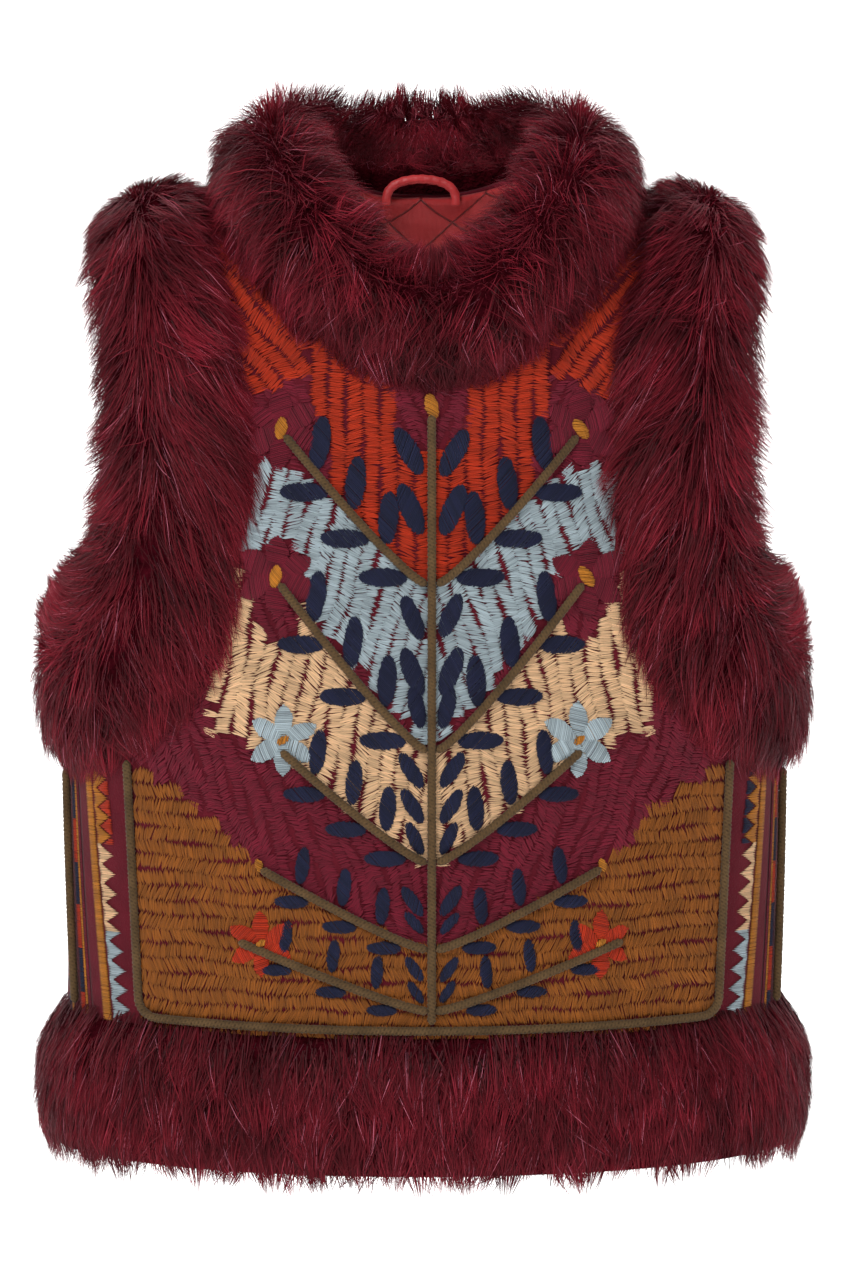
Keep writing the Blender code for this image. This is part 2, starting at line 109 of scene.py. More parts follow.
HEM_PROFILE = np.array((
    # (share_of_height, share_of_depth)
    (0.00, 0.10), (0.06, 0.62), (0.30, 0.98), (0.62, 1.00), (0.88, 0.86), (1.00, 0.50),
))
BRANCHES = (
    # (foot_height, tip_across, tip_height)
    (-0.2270, 0.0800, -0.1470),
    (-0.3180, 0.0830, -0.2280),
    (-0.3800, 0.0820, -0.3200),
    (-0.4280, 0.0930, -0.3850),
    (-0.4620, 0.1050, -0.4250),
)
BRANCH_START = CORD_RADIUS * 2 + 0.0008
BRANCH_BEND = 1.15
STEM_TOP = -0.136
STEM_FOOT = -0.4700
FRONT_BORDER_TOP_ACROSS = 0.1665
FRONT_BORDER_FOOT_ACROSS = 0.1600
FRONT_BORDER_TOP = -0.326
FRONT_BORDER_FOOT = -0.4640
FRONT_BORDER_CORNER = 0.010
BACK_BORDER_BEHIND_SEAM = 6.0
BACK_BORDER_TOP = -0.332
BACK_BORDER_FOOT = -0.4630
LOOP_HALF_WIDTH = 0.0205
LOOP_RISE = 0.0075


# Form
def blend(low, high, share):
    return low + (high - low) * share


def smooth(share):
    return share * share * (3 - 2 * share)


def unit(vectors):
    return vectors / np.maximum(np.linalg.norm(vectors, axis=-1, keepdims=True), 1e-12)


def column_of(table, fraction, column):
    """Smoothly read one column of a table whose first column is a fraction."""
    fraction = np.asarray(fraction, float)
    index = np.clip(np.searchsorted(table[:, 0], fraction, side="left"), 1, len(table) - 1)
    low, high = table[index - 1], table[index]
    share = smooth((fraction - low[..., 0]) / (high[..., 0] - low[..., 0]))
    return blend(low[..., column], high[..., column], share)


def across_factor(angle):
    turn = np.radians(angle)
    return (np.sin(turn) + CORNER_FULLNESS * np.sin(3 * turn)) / (1 - CORNER_FULLNESS)


def depth_factor(angle):
    turn = np.radians(angle)
    return (np.cos(turn) - CORNER_FULLNESS * np.cos(3 * turn)) / (1 - CORNER_FULLNESS)


def level_of(height):
    return (height - HEM_HEIGHT) / (CHEST_HEIGHT - HEM_HEIGHT)


def half_width_at(level):
    low = blend(HEM_HALF_WIDTH, CHEST_HALF_WIDTH, smooth(np.clip(level, 0, 1)))
    cosine = np.abs(np.cos((np.maximum(level, 1) - 1) * math.pi / 2))
    return np.where(level <= 1, low, blend(RIDGE_HALF_WIDTH, CHEST_HALF_WIDTH, cosine))


def height_at(factor, facing, level):
    low = blend(HEM_HEIGHT, CHEST_HEIGHT, level)
    low = low - HEM_DIP * np.maximum(facing, 0) ** 2 * np.maximum(0, 1 - level / UNDERARM_LEVEL)
    sine = np.sin((np.maximum(level, 1) - 1) * math.pi / 2)
    high = CHEST_HEIGHT + (RIDGE_HEIGHT - CHEST_HEIGHT) * sine
    high = high - SHOULDER_DROP * np.abs(factor) ** SHOULDER_BEND * sine ** 2
    return np.where(level <= 1, low, high)


def form_point(angle, level):
    """Points of the form at angles from the centre front, positive towards +X."""
    angle, level = np.broadcast_arrays(np.asarray(angle, float), np.asarray(level, float))
    factor, facing = across_factor(angle), depth_factor(angle)
    share = smooth(np.clip(level, 0, 1))
    cosine = np.cos((np.maximum(level, 1) - 1) * math.pi / 2)
    front, back = (np.where(level <= 1, blend(hem, chest, share), chest * cosine)
                   for hem, chest in (FRONT_DEPTHS, BACK_DEPTHS))
    depth = np.where(facing > 0, front, back)
    height = height_at(factor, facing, level)
    return np.stack((half_width_at(level) * factor, -depth * facing, height), axis=-1)


def form_normal(angle, level):
    step = 0.01
    level = np.minimum(level, 1.998)
    round_way = form_point(angle + step, level) - form_point(angle - step, level)
    up_way = form_point(angle, level + step * 0.1) - form_point(angle, level - step * 0.1)
    return unit(np.cross(round_way, up_way))


def above_form(angle, level, lift):
    return form_point(angle, level) + form_normal(angle, level) * np.asarray(lift)[..., None]


FACTOR_ANGLES = np.linspace(0, 90, 721)
FACTORS = across_factor(FACTOR_ANGLES)


def front_place(across, height):
    """Angle and level of front points given by their place in the front view."""
    across, height = np.broadcast_arrays(np.asarray(across, float), np.asarray(height, float))
    low, high = np.full(across.shape, -0.3), np.full(across.shape, 1.999)
    for _ in range(26):
        level = (low + high) / 2
        factor = np.clip(np.abs(across) / half_width_at(level), 0, 1)
        angle = np.interp(factor, FACTORS, FACTOR_ANGLES)
        below = height_at(factor, depth_factor(angle), level) < height
        low, high = np.where(below, level, low), np.where(below, high, level)
    return angle * np.sign(across), level


def on_front(across, height, lift):
    return above_form(*front_place(across, height), lift)


def seam_angle(level):
    return blend(SEAM_ANGLE_AT_HEM, SEAM_ANGLE, np.clip(level / UNDERARM_LEVEL, 0, 1))


def scoop(share):
    return np.sqrt(share) * (1 - share) ** 1.5 / (0.5 * 0.75 ** 1.5)


def front_edge_angle(share):
    return blend(SEAM_ANGLE, SHOULDER_TIP_ANGLE, share) - ARMHOLE_SCOOP_FRONT * scoop(share)


def back_edge_angle(share):
    return blend(SEAM_ANGLE, 180 - SHOULDER_TIP_ANGLE, share) + ARMHOLE_SCOOP_BACK * scoop(share)


def edge_share(level):
    return np.clip((level - UNDERARM_LEVEL) / (2 - UNDERARM_LEVEL), 0, 1)


def beside_seam(side, distance, level, lift):
    """Points at a distance in front of a side seam, or behind it where negative."""
    metres_per_degree = 0.0027
    return above_form((seam_angle(level) - distance / metres_per_degree) * side, level, lift)


# Mesh makers
def add_object(name, data):
    thing = bpy.data.objects.new(name, data)
    bpy.context.scene.collection.objects.link(thing)
    return thing


def make_piece(name, vertices, faces, material, tones=None, node=None):
    """A mesh from vertices and arrays of triangles or quads, which may stand for a node."""
    vertices = np.asarray(vertices, np.float32).reshape(-1, 3)
    faces = [np.asarray(block, np.int32) for block in faces if len(block)]
    loops = np.concatenate([block.ravel() for block in faces])
    totals = np.concatenate([np.full(len(block), block.shape[1], np.int32) for block in faces])
    starts = (np.cumsum(totals) - totals).astype(np.int32)
    mesh = bpy.data.meshes.new(name)
    mesh.vertices.add(len(vertices))
    mesh.vertices.foreach_set("co", vertices.ravel())
    mesh.loops.add(len(loops))
    mesh.loops.foreach_set("vertex_index", loops)
    mesh.polygons.add(len(totals))
    mesh.polygons.foreach_set("loop_start", starts)
    mesh.polygons.foreach_set("loop_total", totals)
    mesh.polygons.foreach_set("use_smooth", np.ones(len(totals), bool))
    mesh.update(calc_edges=True)
    if tones is not None:
        layer = mesh.color_attributes.new("tone", "FLOAT_COLOR", "POINT")
        values = np.ones((len(vertices), 4), np.float32)
        values[:, :3] = np.asarray(tones, np.float32).reshape(len(vertices), -1)
        layer.data.foreach_set("color", values.ravel())
    mesh.materials.append(material)
    piece = add_object(name, mesh)
    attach(piece, BODY)
    if node:
        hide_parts(node)
    return piece


def grid_faces(rows, columns, close_rows=False, close_columns=False, start=0):
    """Quads of a grid of points kept row by row."""
    row = np.arange(rows if close_rows else rows - 1)[:, None]
    column = np.arange(columns if close_columns else columns - 1)[None, :]
    next_row, next_column = (row + 1) % rows, (column + 1) % columns
    quads = np.stack((row * columns + column, row * columns + next_column,
                      next_row * columns + next_column, next_row * columns + column), axis=-1)
    return quads.reshape(-1, 4) + start


# Materials
def srgb(red, green, blue):
    """Linear colour from eight-bit screen values."""
    values = np.array((red, green, blue)) / 255
    linear = np.where(values <= 0.04045, values / 12.92, ((values + 0.055) / 1.055) ** 2.4)
    return tuple(float(value) for value in linear)


def add_node(tree, kind, links, **values):
    """A node with sockets linked to its inputs, and values for inputs or settings."""
    node = tree.nodes.new(kind)
    for key, value in values.items():
        if key in node.inputs:
            node.inputs[key].default_value = value
        else:
            setattr(node, key, value)
    for key, socket in links.items():
        tree.links.new(socket, node.inputs[key])
    return node


def quilt_lines(tree):
    """One between the stitch lines of a quilt and nothing on them, from lattice numbers."""
    lattice = add_node(tree, "ShaderNodeAttribute", {}, attribute_name="quilt").outputs["Vector"]
    parts = add_node(tree, "ShaderNodeSeparateXYZ", {"Vector": lattice}).outputs
    nearest = {}
    for number, operation in enumerate(("ADD", "SUBTRACT")):
        links = {0: parts["Y"], 1: parts["X"]}
        crossing = add_node(tree, "ShaderNodeMath", links, operation=operation)
        links = {0: crossing.outputs["Value"]}
        away = add_node(tree, "ShaderNodeMath", links, operation="PINGPONG")
        away.inputs[1].default_value = 1.0
        nearest[number] = away.outputs["Value"]
    least = add_node(tree, "ShaderNodeMath", nearest, operation="MINIMUM")
    soft = add_node(tree, "ShaderNodeMapRange", {"Value": least.outputs["Value"]},
                    interpolation_type="SMOOTHSTEP")
    soft.inputs["From Max"].default_value = 0.07
    return soft.outputs["Result"]


def make_material(name, color, roughness, variation, patch, grain, grain_depth, specular, sheen=0.0,
                  sheen_tint=(1, 1, 1), toned=False, wave=None, quilted=False):
    """Cloth, thread or fur: mottled colour, an optional tone of each strand, and fine relief."""
    material = bpy.data.materials.new(name)
    material.use_nodes = True
    tree = material.node_tree
    shader = tree.nodes["Principled BSDF"]
    shader.inputs["Roughness"].default_value = roughness
    shader.inputs["Sheen Weight"].default_value = sheen
    shader.inputs["Sheen Roughness"].default_value = 0.4
    shader.inputs["Sheen Tint"].default_value = (*sheen_tint, 1)
    shader.inputs["Specular IOR Level"].default_value = specular
    place = {"Vector": add_node(tree, "ShaderNodeTexCoord", {}).outputs["Object"]}
    mottle = add_node(tree, "ShaderNodeTexNoise", place, Scale=patch, Detail=4.0)
    ramp = add_node(tree, "ShaderNodeValToRGB", {"Fac": mottle.outputs["Fac"]})
    for number, position, change in ((0, 0.3, -variation), (1, 0.7, variation)):
        element = ramp.color_ramp.elements[number]
        element.position = position
        element.color = (*[min(value * (1 + change), 1) for value in color], 1)
    result = ramp.outputs["Color"]
    if toned:
        tone = add_node(tree, "ShaderNodeVertexColor", {}, layer_name="tone").outputs["Color"]
        mix = add_node(tree, "ShaderNodeMix", {}, data_type="RGBA", blend_type="MULTIPLY", Factor=1.0)
        tree.links.new(result, mix.inputs["A"])
        tree.links.new(tone, mix.inputs["B"])
        result = mix.outputs["Result"]
    fine = add_node(tree, "ShaderNodeTexNoise", place, Scale=grain, Detail=3.0)
    bump = add_node(tree, "ShaderNodeBump", {"Height": fine.outputs["Fac"]},
                    Strength=1.0, Distance=grain_depth)
    if wave:
        weave = add_node(tree, "ShaderNodeTexWave", place, Scale=wave, Distortion=1.5)
        links = {"Height": weave.outputs["Fac"], "Normal": bump.outputs["Normal"]}
        bump = add_node(tree, "ShaderNodeBump", links, Strength=0.6, Distance=grain_depth)
    if quilted:
        lines = quilt_lines(tree)
        # Darker along the stitch lines: the stitching, with painted shade in its valleys.
        mix = add_node(tree, "ShaderNodeMix", {}, data_type="RGBA")
        mix.inputs["A"].default_value = (*[value * 0.34 for value in color], 1)
        tree.links.new(lines, mix.inputs["Factor"])
        tree.links.new(result, mix.inputs["B"])
        result = mix.outputs["Result"]
        links = {"Height": lines, "Normal": bump.outputs["Normal"]}
        bump = add_node(tree, "ShaderNodeBump", links, Strength=0.8, Distance=0.002)
    tree.links.new(result, shader.inputs["Base Color"])
    tree.links.new(bump.outputs["Normal"], shader.inputs["Normal"])
    return material


WOOL = make_material("felted_wool", srgb(80, 12, 25), 0.9, variation=0.14, patch=70, grain=900,
                     grain_depth=0.0006, specular=0.15, sheen=0.06)
SATIN_CLOTH = make_material("quilted_satin", srgb(190, 52, 54), 0.45, variation=0.16, patch=18,
                            grain=140, grain_depth=0.0014, specular=0.4, sheen=0.1, wave=420,
                            quilted=True)
SATIN_TUBE = make_material("satin_tube", srgb(190, 52, 54), 0.45, variation=0.2, patch=40,
                           grain=260, grain_depth=0.0012, specular=0.4, sheen=0.1)
FUR_HAIR = make_material("fur_hair", srgb(86, 14, 24), 0.5, variation=0.30, patch=24, grain=900,
                         grain_depth=0.0001, specular=0.10, sheen=0.45,
                         sheen_tint=(0.42, 0.07, 0.11), toned=True)
# The underhair body stands for the dense underfur; its dark colour is painted shade of the deep fur.
FUR_UNDERHAIR_WITH_PAINTED_SHADE = make_material("fur_underhair_painted_shade", srgb(54, 8, 16), 1.0, variation=0.5, patch=160,
                         grain=500, grain_depth=0.004, specular=0.0)
CORD_WOOL = make_material("twisted_wool", srgb(82, 62, 38), 0.85, variation=0.25, patch=90,
                          grain=1500, grain_depth=0.0004, specular=0.2, sheen=0.08, toned=True)
THREADS = {
    thread: make_material(f"{shade_name}_thread", color, roughness, variation=0.14, patch=60,
                          grain=1800, grain_depth=0.0003, specular=0.22, sheen=0.05, toned=True,
                          wave=900)
    for thread, shade_name, color, roughness in (
        ("burgundy", "burgundy", srgb(110, 20, 40), 0.7),
        ("orange", "orange", srgb(178, 48, 18), 0.6),
        ("blue", "blue_grey", srgb(168, 182, 188), 0.6),
        ("tan", "tan", srgb(230, 190, 148), 0.6),
        ("ochre", "ochre", srgb(143, 82, 25), 0.6),
        ("gold", "gold", srgb(186, 118, 36), 0.6),
        ("navy", "navy", srgb(28, 32, 60), 0.7),
    )
}


# Panels
def angle_for_across(across, level):
    factor = np.clip(across / half_width_at(level), 0, 1)
    return np.interp(factor, FACTORS, FACTOR_ANGLES)


def front_column_angle(share, level):
    rise = edge_share(level)
    return np.where(rise > 0, front_edge_angle(rise), seam_angle(level)) * share


def back_column_angle(share, level):
    column = share * BACK_COLUMNS
    rise = edge_share(level)
    edge = 180 - np.where(rise > 0, back_edge_angle(rise), seam_angle(level))
    even_edge = angle_for_across(BACK_EVEN_COLUMNS * BACK_COLUMN_PITCH, level)
    outer = (column - BACK_EVEN_COLUMNS) / (BACK_COLUMNS - BACK_EVEN_COLUMNS)
    even = angle_for_across(np.minimum(column, BACK_EVEN_COLUMNS) * BACK_COLUMN_PITCH, level)
    return 180 - np.where(column <= BACK_EVEN_COLUMNS, even, blend(even_edge, edge, outer))


def neck_level(column_angle, share):
    """Level at which columns meet the round neckline, or the ridge beside it."""
    low, high = np.full(share.shape, 1.0), np.full(share.shape, TOP_LEVEL)

    def inside(level):
        point = form_point(column_angle(share, level), level)
        return np.hypot(point[..., 0], point[..., 1] - NECK_CENTRE_Y) < NECK_RADIUS

    free = ~inside(high)
    for _ in range(30):
        middle = (low + high) / 2
        within = inside(middle)
        low, high = np.where(within, low, middle), np.where(within, middle, high)
    return np.where(free, TOP_LEVEL, low)


def panel(column_angle, columns, rows_below, rows_above, is_front):
    """Places, normals and lattice numbers of a panel, from the hem up and left to right."""
    signed = np.linspace(-1, 1, columns * 2 + 1)
    share = np.abs(signed)
    tops = neck_level(column_angle, share)
    below = UNDERARM_LEVEL * np.linspace(0, 1, rows_below + 1)[:, None] * np.ones_like(tops)
    rise = np.linspace(0, 1, rows_above + 1)[1:, None]
    level = np.concatenate((below, blend(UNDERARM_LEVEL, tops[None, :], rise)))
    angle = column_angle(share[None, :], level) * np.where(signed < 0, -1, 1)
    places = form_point(angle, level)
    half = SEAM_GAP / 2
    upper = places[..., 2] > CHEST_HEIGHT
    limit = np.minimum(places[..., 1], -half) if is_front else np.maximum(places[..., 1], half)
    places[..., 1] = np.where(upper, limit, places[..., 1])
    rows = np.concatenate((np.linspace(0, 12, rows_below + 1),
                           12 + np.linspace(0, 12, rows_above + 1)[1:]))
    return places, form_normal(angle, level), signed, rows


def shell(name, outer, inner, material, node, lining=None, lattice=None):
    """Close two like grids into one wall whose inner side may have its own material."""
    rows, columns = outer.shape[:2]
    outside = grid_faces(rows, columns)
    inside = grid_faces(rows, columns, start=rows * columns)[:, ::-1]
    ring = np.concatenate((
        np.arange(columns), np.arange(2, rows + 1) * columns - 1,
        (rows - 1) * columns + np.arange(columns - 2, -1, -1),
        np.arange(rows - 2, 0, -1) * columns))
    following = np.roll(ring, -1)
    rim = np.stack((ring, ring + rows * columns, following + rows * columns, following), axis=-1)
    piece = make_piece(name, np.concatenate((outer.reshape(-1, 3), inner.reshape(-1, 3))),
                       [outside, rim, inside], material, node=node)
    if lining is not None:
        piece.data.materials.append(lining)
        numbers = np.repeat((0, 1), (len(outside) + len(rim), len(inside))).astype(np.int32)
        piece.data.polygons.foreach_set("material_index", numbers)
    if lattice is not None:
        layer = piece.data.attributes.new("quilt", "FLOAT_VECTOR", "POINT")
        values = np.zeros((2, rows, columns, 3), np.float32)
        values[..., 0] = lattice[0][None, :]
        values[..., 1] = lattice[1][:, None]
        layer.data.foreach_set("vector", values.ravel())
    return piece


def quilting(signed, rows, columns):
    """Rise of a diamond quilt: full between its stitch lines and nothing on them."""
    column = signed[None, :] * columns
    one = np.abs(np.sin((rows[:, None] + column) * math.pi / 2))
    other = np.abs(np.sin((rows[:, None] - column) * math.pi / 2))
    return (one * other) ** 0.5


def relief(points, size, seed):
    """Soft bumps from a sum of waves, for uneven cloth."""
    rng = np.random.default_rng(seed)
    total = np.zeros(points.shape[:-1])
    for _ in range(9):
        way = rng.normal(size=3)
        way *= 2 * math.pi / (size * rng.uniform(0.7, 1.6) * np.linalg.norm(way))
        total += np.sin(points @ way + rng.uniform(0, 6.28))
    return total / 4.5


def edge_fade(signed):
    """One over a panel, fading to nothing at its side edges."""
    return np.minimum(1 - np.abs(signed), 0.1)[None, :, None] * 10


def make_front():
    places, normals, signed, rows = panel(front_column_angle, 40, 30, 44, True)
    uneven = relief(places, 0.03, 11)[..., None] * 0.0004
    quilt_columns = 9
    puff = quilting(signed, rows, quilt_columns)[..., None] * QUILT_PUFF * 0.8
    edge = edge_fade(signed)
    piece = shell("front_cloth", places + normals * uneven * edge,
                  places - normals * (WALL + puff * edge), WOOL, "front",
                  SATIN_CLOTH, (signed * quilt_columns, rows))


def make_back():
    places, normals, signed, _ = panel(back_column_angle, 36, 26, 38, False)
    uneven = relief(places, 0.05, 12)[..., None] * 0.0006
    edge = edge_fade(signed)
    piece = shell("back_cloth", places + normals * uneven * edge, places - normals * WALL,
                  WOOL, "back")


def make_back_lining():
    places, normals, signed, rows = panel(back_column_angle, 48, 36, 60, False)
    rise = quilting(signed, rows, BACK_COLUMNS)
    pucker = relief(places, 0.012, 13) * (1.1 - rise) * 0.00022
    border = np.minimum(np.minimum(1 - np.abs(signed), 0.05)[None, :] * 20,
                        np.minimum(rows, 0.5)[:, None] * 2)
    thick = LINING + (rise * QUILT_PUFF + pucker) * border
    outer = places - normals * (WALL + LINING_GAP)
    piece = shell("back_lining_cloth", outer, outer - normals * thick[..., None], SATIN_CLOTH,
                  "back_lining", lattice=(signed * BACK_COLUMNS, rows))


# Stitches
HEAPS = {thread: [] for thread in THREADS}
STITCH_STEPS = np.array((-1.0, -0.5, -0.5, -0.5, 0.5, 0.5, 0.5, 1.0))
STITCH_SIDES = np.array((0.0, -1.0, 0.0, 1.0, -1.0, 0.0, 1.0, 0.0))
STITCH_RISES = np.array((0.1, 0.15, 1.0, 0.15, 0.15, 1.0, 0.15, 0.1))
STITCH_TRIANGLES = np.array(((0, 2, 1), (0, 3, 2), (7, 4, 5), (7, 5, 6)))
STITCH_QUADS = np.array(((1, 2, 5, 4), (2, 3, 6, 5)))


def sew(thread, surface, first, second, way, length, width, height, lift, rng):
    """Raised stitches on a surface, each from its middle, direction, length and width."""
    count = len(first)
    way = unit(way) * (length / 2)[:, None]
    across = unit(np.stack((-way[:, 1], way[:, 0]), axis=-1)) * (width / 2)
    u, v = (middle[:, None] + way[:, None, axis] * STITCH_STEPS + across[:, None, axis] * STITCH_SIDES
            for axis, middle in ((0, first), (1, second)))
    raised = np.broadcast_to(np.asarray(lift), (count,))[:, None] + height * STITCH_RISES
    base = (np.arange(count) * 8)[:, None, None]
    tone = 1 + rng.uniform(-0.22, 0.22, (count, 1))
    # The stitch ends and edges, which dip into the cloth, are darker and the raised middle lighter:
    # painted shade, over a random tone per stitch.
    tones = np.broadcast_to((tone * (0.72 + 0.28 * STITCH_RISES))[..., None], (count, 8, 3))
    HEAPS[thread].append((surface(u, v, raised).reshape(-1, 3), (base + STITCH_TRIANGLES).reshape(-1, 3),
                          (base + STITCH_QUADS).reshape(-1, 4), tones.reshape(-1, 3)))


def build_stitches():
    """Gather the stitches of each thread into one piece."""
    for thread, parts in HEAPS.items():
        ends = np.cumsum([len(part[0]) for part in parts])
        triangles, quads = (
            np.concatenate([part[kind] + end - len(part[0]) for part, end in zip(parts, ends)])
            for kind in (1, 2))
        vertices, tones = (np.concatenate([part[kind] for part in parts]) for kind in (0, 3))
        make_piece(f"{thread}_stitches", vertices, [triangles, quads], THREADS[thread],
                   tones)


def branch_height(across, foot, tip_across, tip):
    share = np.clip((np.abs(across) - BRANCH_START) / (tip_across - BRANCH_START), 0, 1.35)
    return blend(foot, tip, share ** BRANCH_BEND)


def tooth(value, pitch, depth):
    """A triangle wave for toothed edges."""
    return (np.abs((value / pitch) % 1 - 0.5) * 4 - 1) * depth


def thread_field(across, height):
    """Number of the thread field at places of the front view: an index into FIELDS."""
    x = np.abs(across)
    one, two, three, four = (branch_height(x, *branch) for branch in BRANCHES[:4])
    jag = tooth(x, 0.013, 0.0035)
    inner_edge = np.interp(height, (-0.185, -0.165, -0.140, -0.110, -0.085),
                           (0.066, 0.056, 0.061, 0.069, 0.066))
    field = np.where((x < inner_edge + tooth(height, 0.012, 0.002)) & (height > one), 1, 0)
    bud = (x < 0.0215 + tooth(height, 0.011, 0.0015)) & (height > -0.158 + x * 0.7)
    field = np.where(bud, 0, field)
    shoulder = np.interp(x, (0.055, 0.075, 0.10, 0.125), (-0.110, -0.116, -0.127, -0.130))
    field = np.where((x > 0.062) & (height > shoulder + jag) & (x > inner_edge), 2, field)
    blue_top = np.interp(x, (0, 0.05, 0.062, 0.075, 0.13), (-0.227, -0.185, -0.178, -0.163, -0.163))
    blue_top = np.minimum(blue_top, np.where(x < 0.062, one, 9.0)) + jag * (x > 0.06)
    blue_foot = np.interp(x, (0, 0.06, 0.075, 0.09, 0.13), (-0.32, -0.252, -0.205, -0.213, -0.213))
    blue_foot = np.where(x < 0.062, np.maximum(two, blue_foot), blue_foot) + jag
    field = np.where((height < blue_top) & (height > blue_foot), 3, field)
    tan_top = np.interp(x, (0, 0.07, 0.078, 0.092, 0.102, 0.125),
                        (0, -0.24, -0.262, -0.258, -0.222, -0.214))
    tan_top = np.where(x < 0.068, two, tan_top) + jag * (x > 0.07)
    tan_foot = np.interp(x, (0, 0.07, 0.09, 0.11, 0.15), (-0.4, -0.330, -0.320, -0.312, -0.306))
    tan_foot = np.where(x < 0.068, np.maximum(three, tan_foot), tan_foot) + jag
    tan = (height < tan_top) & (height > tan_foot) & (x < 0.121 + tooth(height, 0.010, 0.002))
    field = np.where(tan, 4, field)
    ochre_top = np.interp(x, (0, 0.075, 0.10, 0.12, 0.14, 0.165),
                          (-0.39, -0.399, -0.380, -0.356, -0.341, -0.328))
    ochre_top = np.where(x < 0.072, four, ochre_top + tooth(x, 0.02, 0.003))
    return np.where(height < ochre_top, 5, field)


def hem_sag(across):
    return HEM_DIP * (1 - (across / HEM_HALF_WIDTH) ** 2)


FIELDS = (
    # (thread, number, column_turn, pitch, step, length_share, tilt, swing, wave, height)
    ("burgundy", 0, 20, 0.0058, 0.00100, 1.20, 14, 36, 0.0018, 0.0009),
    ("orange", 1, 0, 0.0094, 0.00082, 1.06, 10, 14, 0.0007, 0.0011),
    ("orange", 2, 40, 0.0090, 0.00084, 1.06, 12, 16, 0.0012, 0.0011),
    ("blue", 3, -18, 0.0076, 0.00080, 1.12, 9, 34, 0.0014, 0.0011),
    ("tan", 4, -10, 0.0084, 0.00080, 1.10, 10, 26, 0.0014, 0.0011),
    ("ochre", 5, 90, 0.0080, 0.00082, 1.14, 15, 12, 0.0010, 0.0011),
)
FIELD_REACH = 0.36
FIELD_MIDDLE = 0.27
FIELD_ACROSS = 0.172
FIELD_TOP = -0.02
FIELD_FOOT = -0.475
BORDER_CLEARANCE = 0.001
NECK_CLEARANCE = 0.003
ARMHOLE_CLEARANCE = 2.5  # degrees
STITCH_WIDTHS = {"burgundy": 0.0011}
STITCH_WIDTH = 0.0010


def drift(x, z, rng, size=0.045):
    """A slowly changing number from about -1 to 1 over the front."""
    total = np.zeros(x.shape)
    for _ in range(5):
        turn, scale = rng.uniform(0, 2 * math.pi), 2 * math.pi / (size * rng.uniform(0.7, 1.6))
        total += np.sin((x * math.cos(turn) + z * math.sin(turn)) * scale + rng.uniform(0, 6.28))
    return np.clip(total / 2.6, -1, 1)


def clear_of_edges(x, z):
    """Whether places on the right half of the front lie inside its neck and its armhole."""
    angle, level = front_place(x, z)
    spot = form_point(angle, level)
    rise = edge_share(level)
    cloth = np.where(rise > 0, front_edge_angle(rise), 90.0)
    in_neck = np.hypot(spot[:, 0], spot[:, 1] - NECK_CENTRE_Y) <= NECK_RADIUS + NECK_CLEARANCE
    return ~in_neck & (angle < cloth - ARMHOLE_CLEARANCE)


def sew_fields():
    """Columns of slanting stitches over the front, one thread field after another."""
    rng = np.random.default_rng(5)
    for thread, number, turn, pitch, step, share, tilt, swing, wave, height in FIELDS:
        axis = math.radians(turn)
        along = np.array((math.sin(axis), math.cos(axis)))
        out = np.array((math.cos(axis), -math.sin(axis)))
        columns = np.arange(-int(FIELD_REACH / pitch), int(FIELD_REACH / pitch))
        steps = np.arange(-int(FIELD_REACH / step), int(FIELD_REACH / step))
        column, place = np.meshgrid(columns, steps, indexing="ij")
        for side in (-1, 1):
            p = (place + rng.uniform(-0.3, 0.3, place.shape) + (column % 2) * 0.5) * step
            phase = rng.uniform(0, 6.28, len(columns))[:, None]
            wave_length = rng.uniform(0.0035, 0.0055, len(columns))[:, None]
            q = (column + 0.5) * pitch + wave * np.sin(p / wave_length * 0.5 + phase)
            q = q + rng.normal(0, 0.00045, q.shape)
            x = p * along[0] + q * out[0]
            z = p * along[1] + q * out[1] - FIELD_MIDDLE
            if turn == 90:
                z = z - hem_sag(x)
            border = np.interp(z, (FRONT_BORDER_FOOT, FRONT_BORDER_TOP),
                               (FRONT_BORDER_FOOT_ACROSS, FRONT_BORDER_TOP_ACROSS))
            keep = (x > 0) & (x < FIELD_ACROSS) & (z > FIELD_FOOT - hem_sag(x)) & (z < FIELD_TOP)
            keep &= (x < border - BORDER_CLEARANCE) & (thread_field(x, z) == number)
            x, z, parity = x[keep], z[keep], (column[keep] % 2) * 2 - 1
            clear = clear_of_edges(x, z)
            x, z, parity = x[clear], z[clear], parity[clear]
            slant = np.radians(rng.normal(tilt, 5, x.shape) * parity + swing * drift(x, z, rng))
            way = out[None, :] * np.cos(slant)[:, None] + along[None, :] * np.sin(slant)[:, None]
            length = pitch * share / np.maximum(np.cos(slant), 0.75) * rng.uniform(0.86, 1.14, x.shape)
            lift = 0.0002 + rng.uniform(0, 0.0004, x.shape)
            sew(thread, on_front, x * side, z, way * np.array((side, 1)), length,
                STITCH_WIDTHS.get(thread, STITCH_WIDTH), height, lift, rng)


# Motifs
OVAL_STEPS = np.array((-1.0, -0.62, 0.0, 0.62, 1.0))
OVAL_ARCH = np.array((0.0, 0.72, 1.0, 0.72, 0.0))
OVAL_THICK = np.array((-1.0, 0.0, 1.0))
OVAL_RIDGE = np.array((0.0, 1.0, 0.0))
OVAL_PITCH = 0.00095
STRAND_HALF_WIDTH = 0.00056
STRAND_RISE = 0.0009


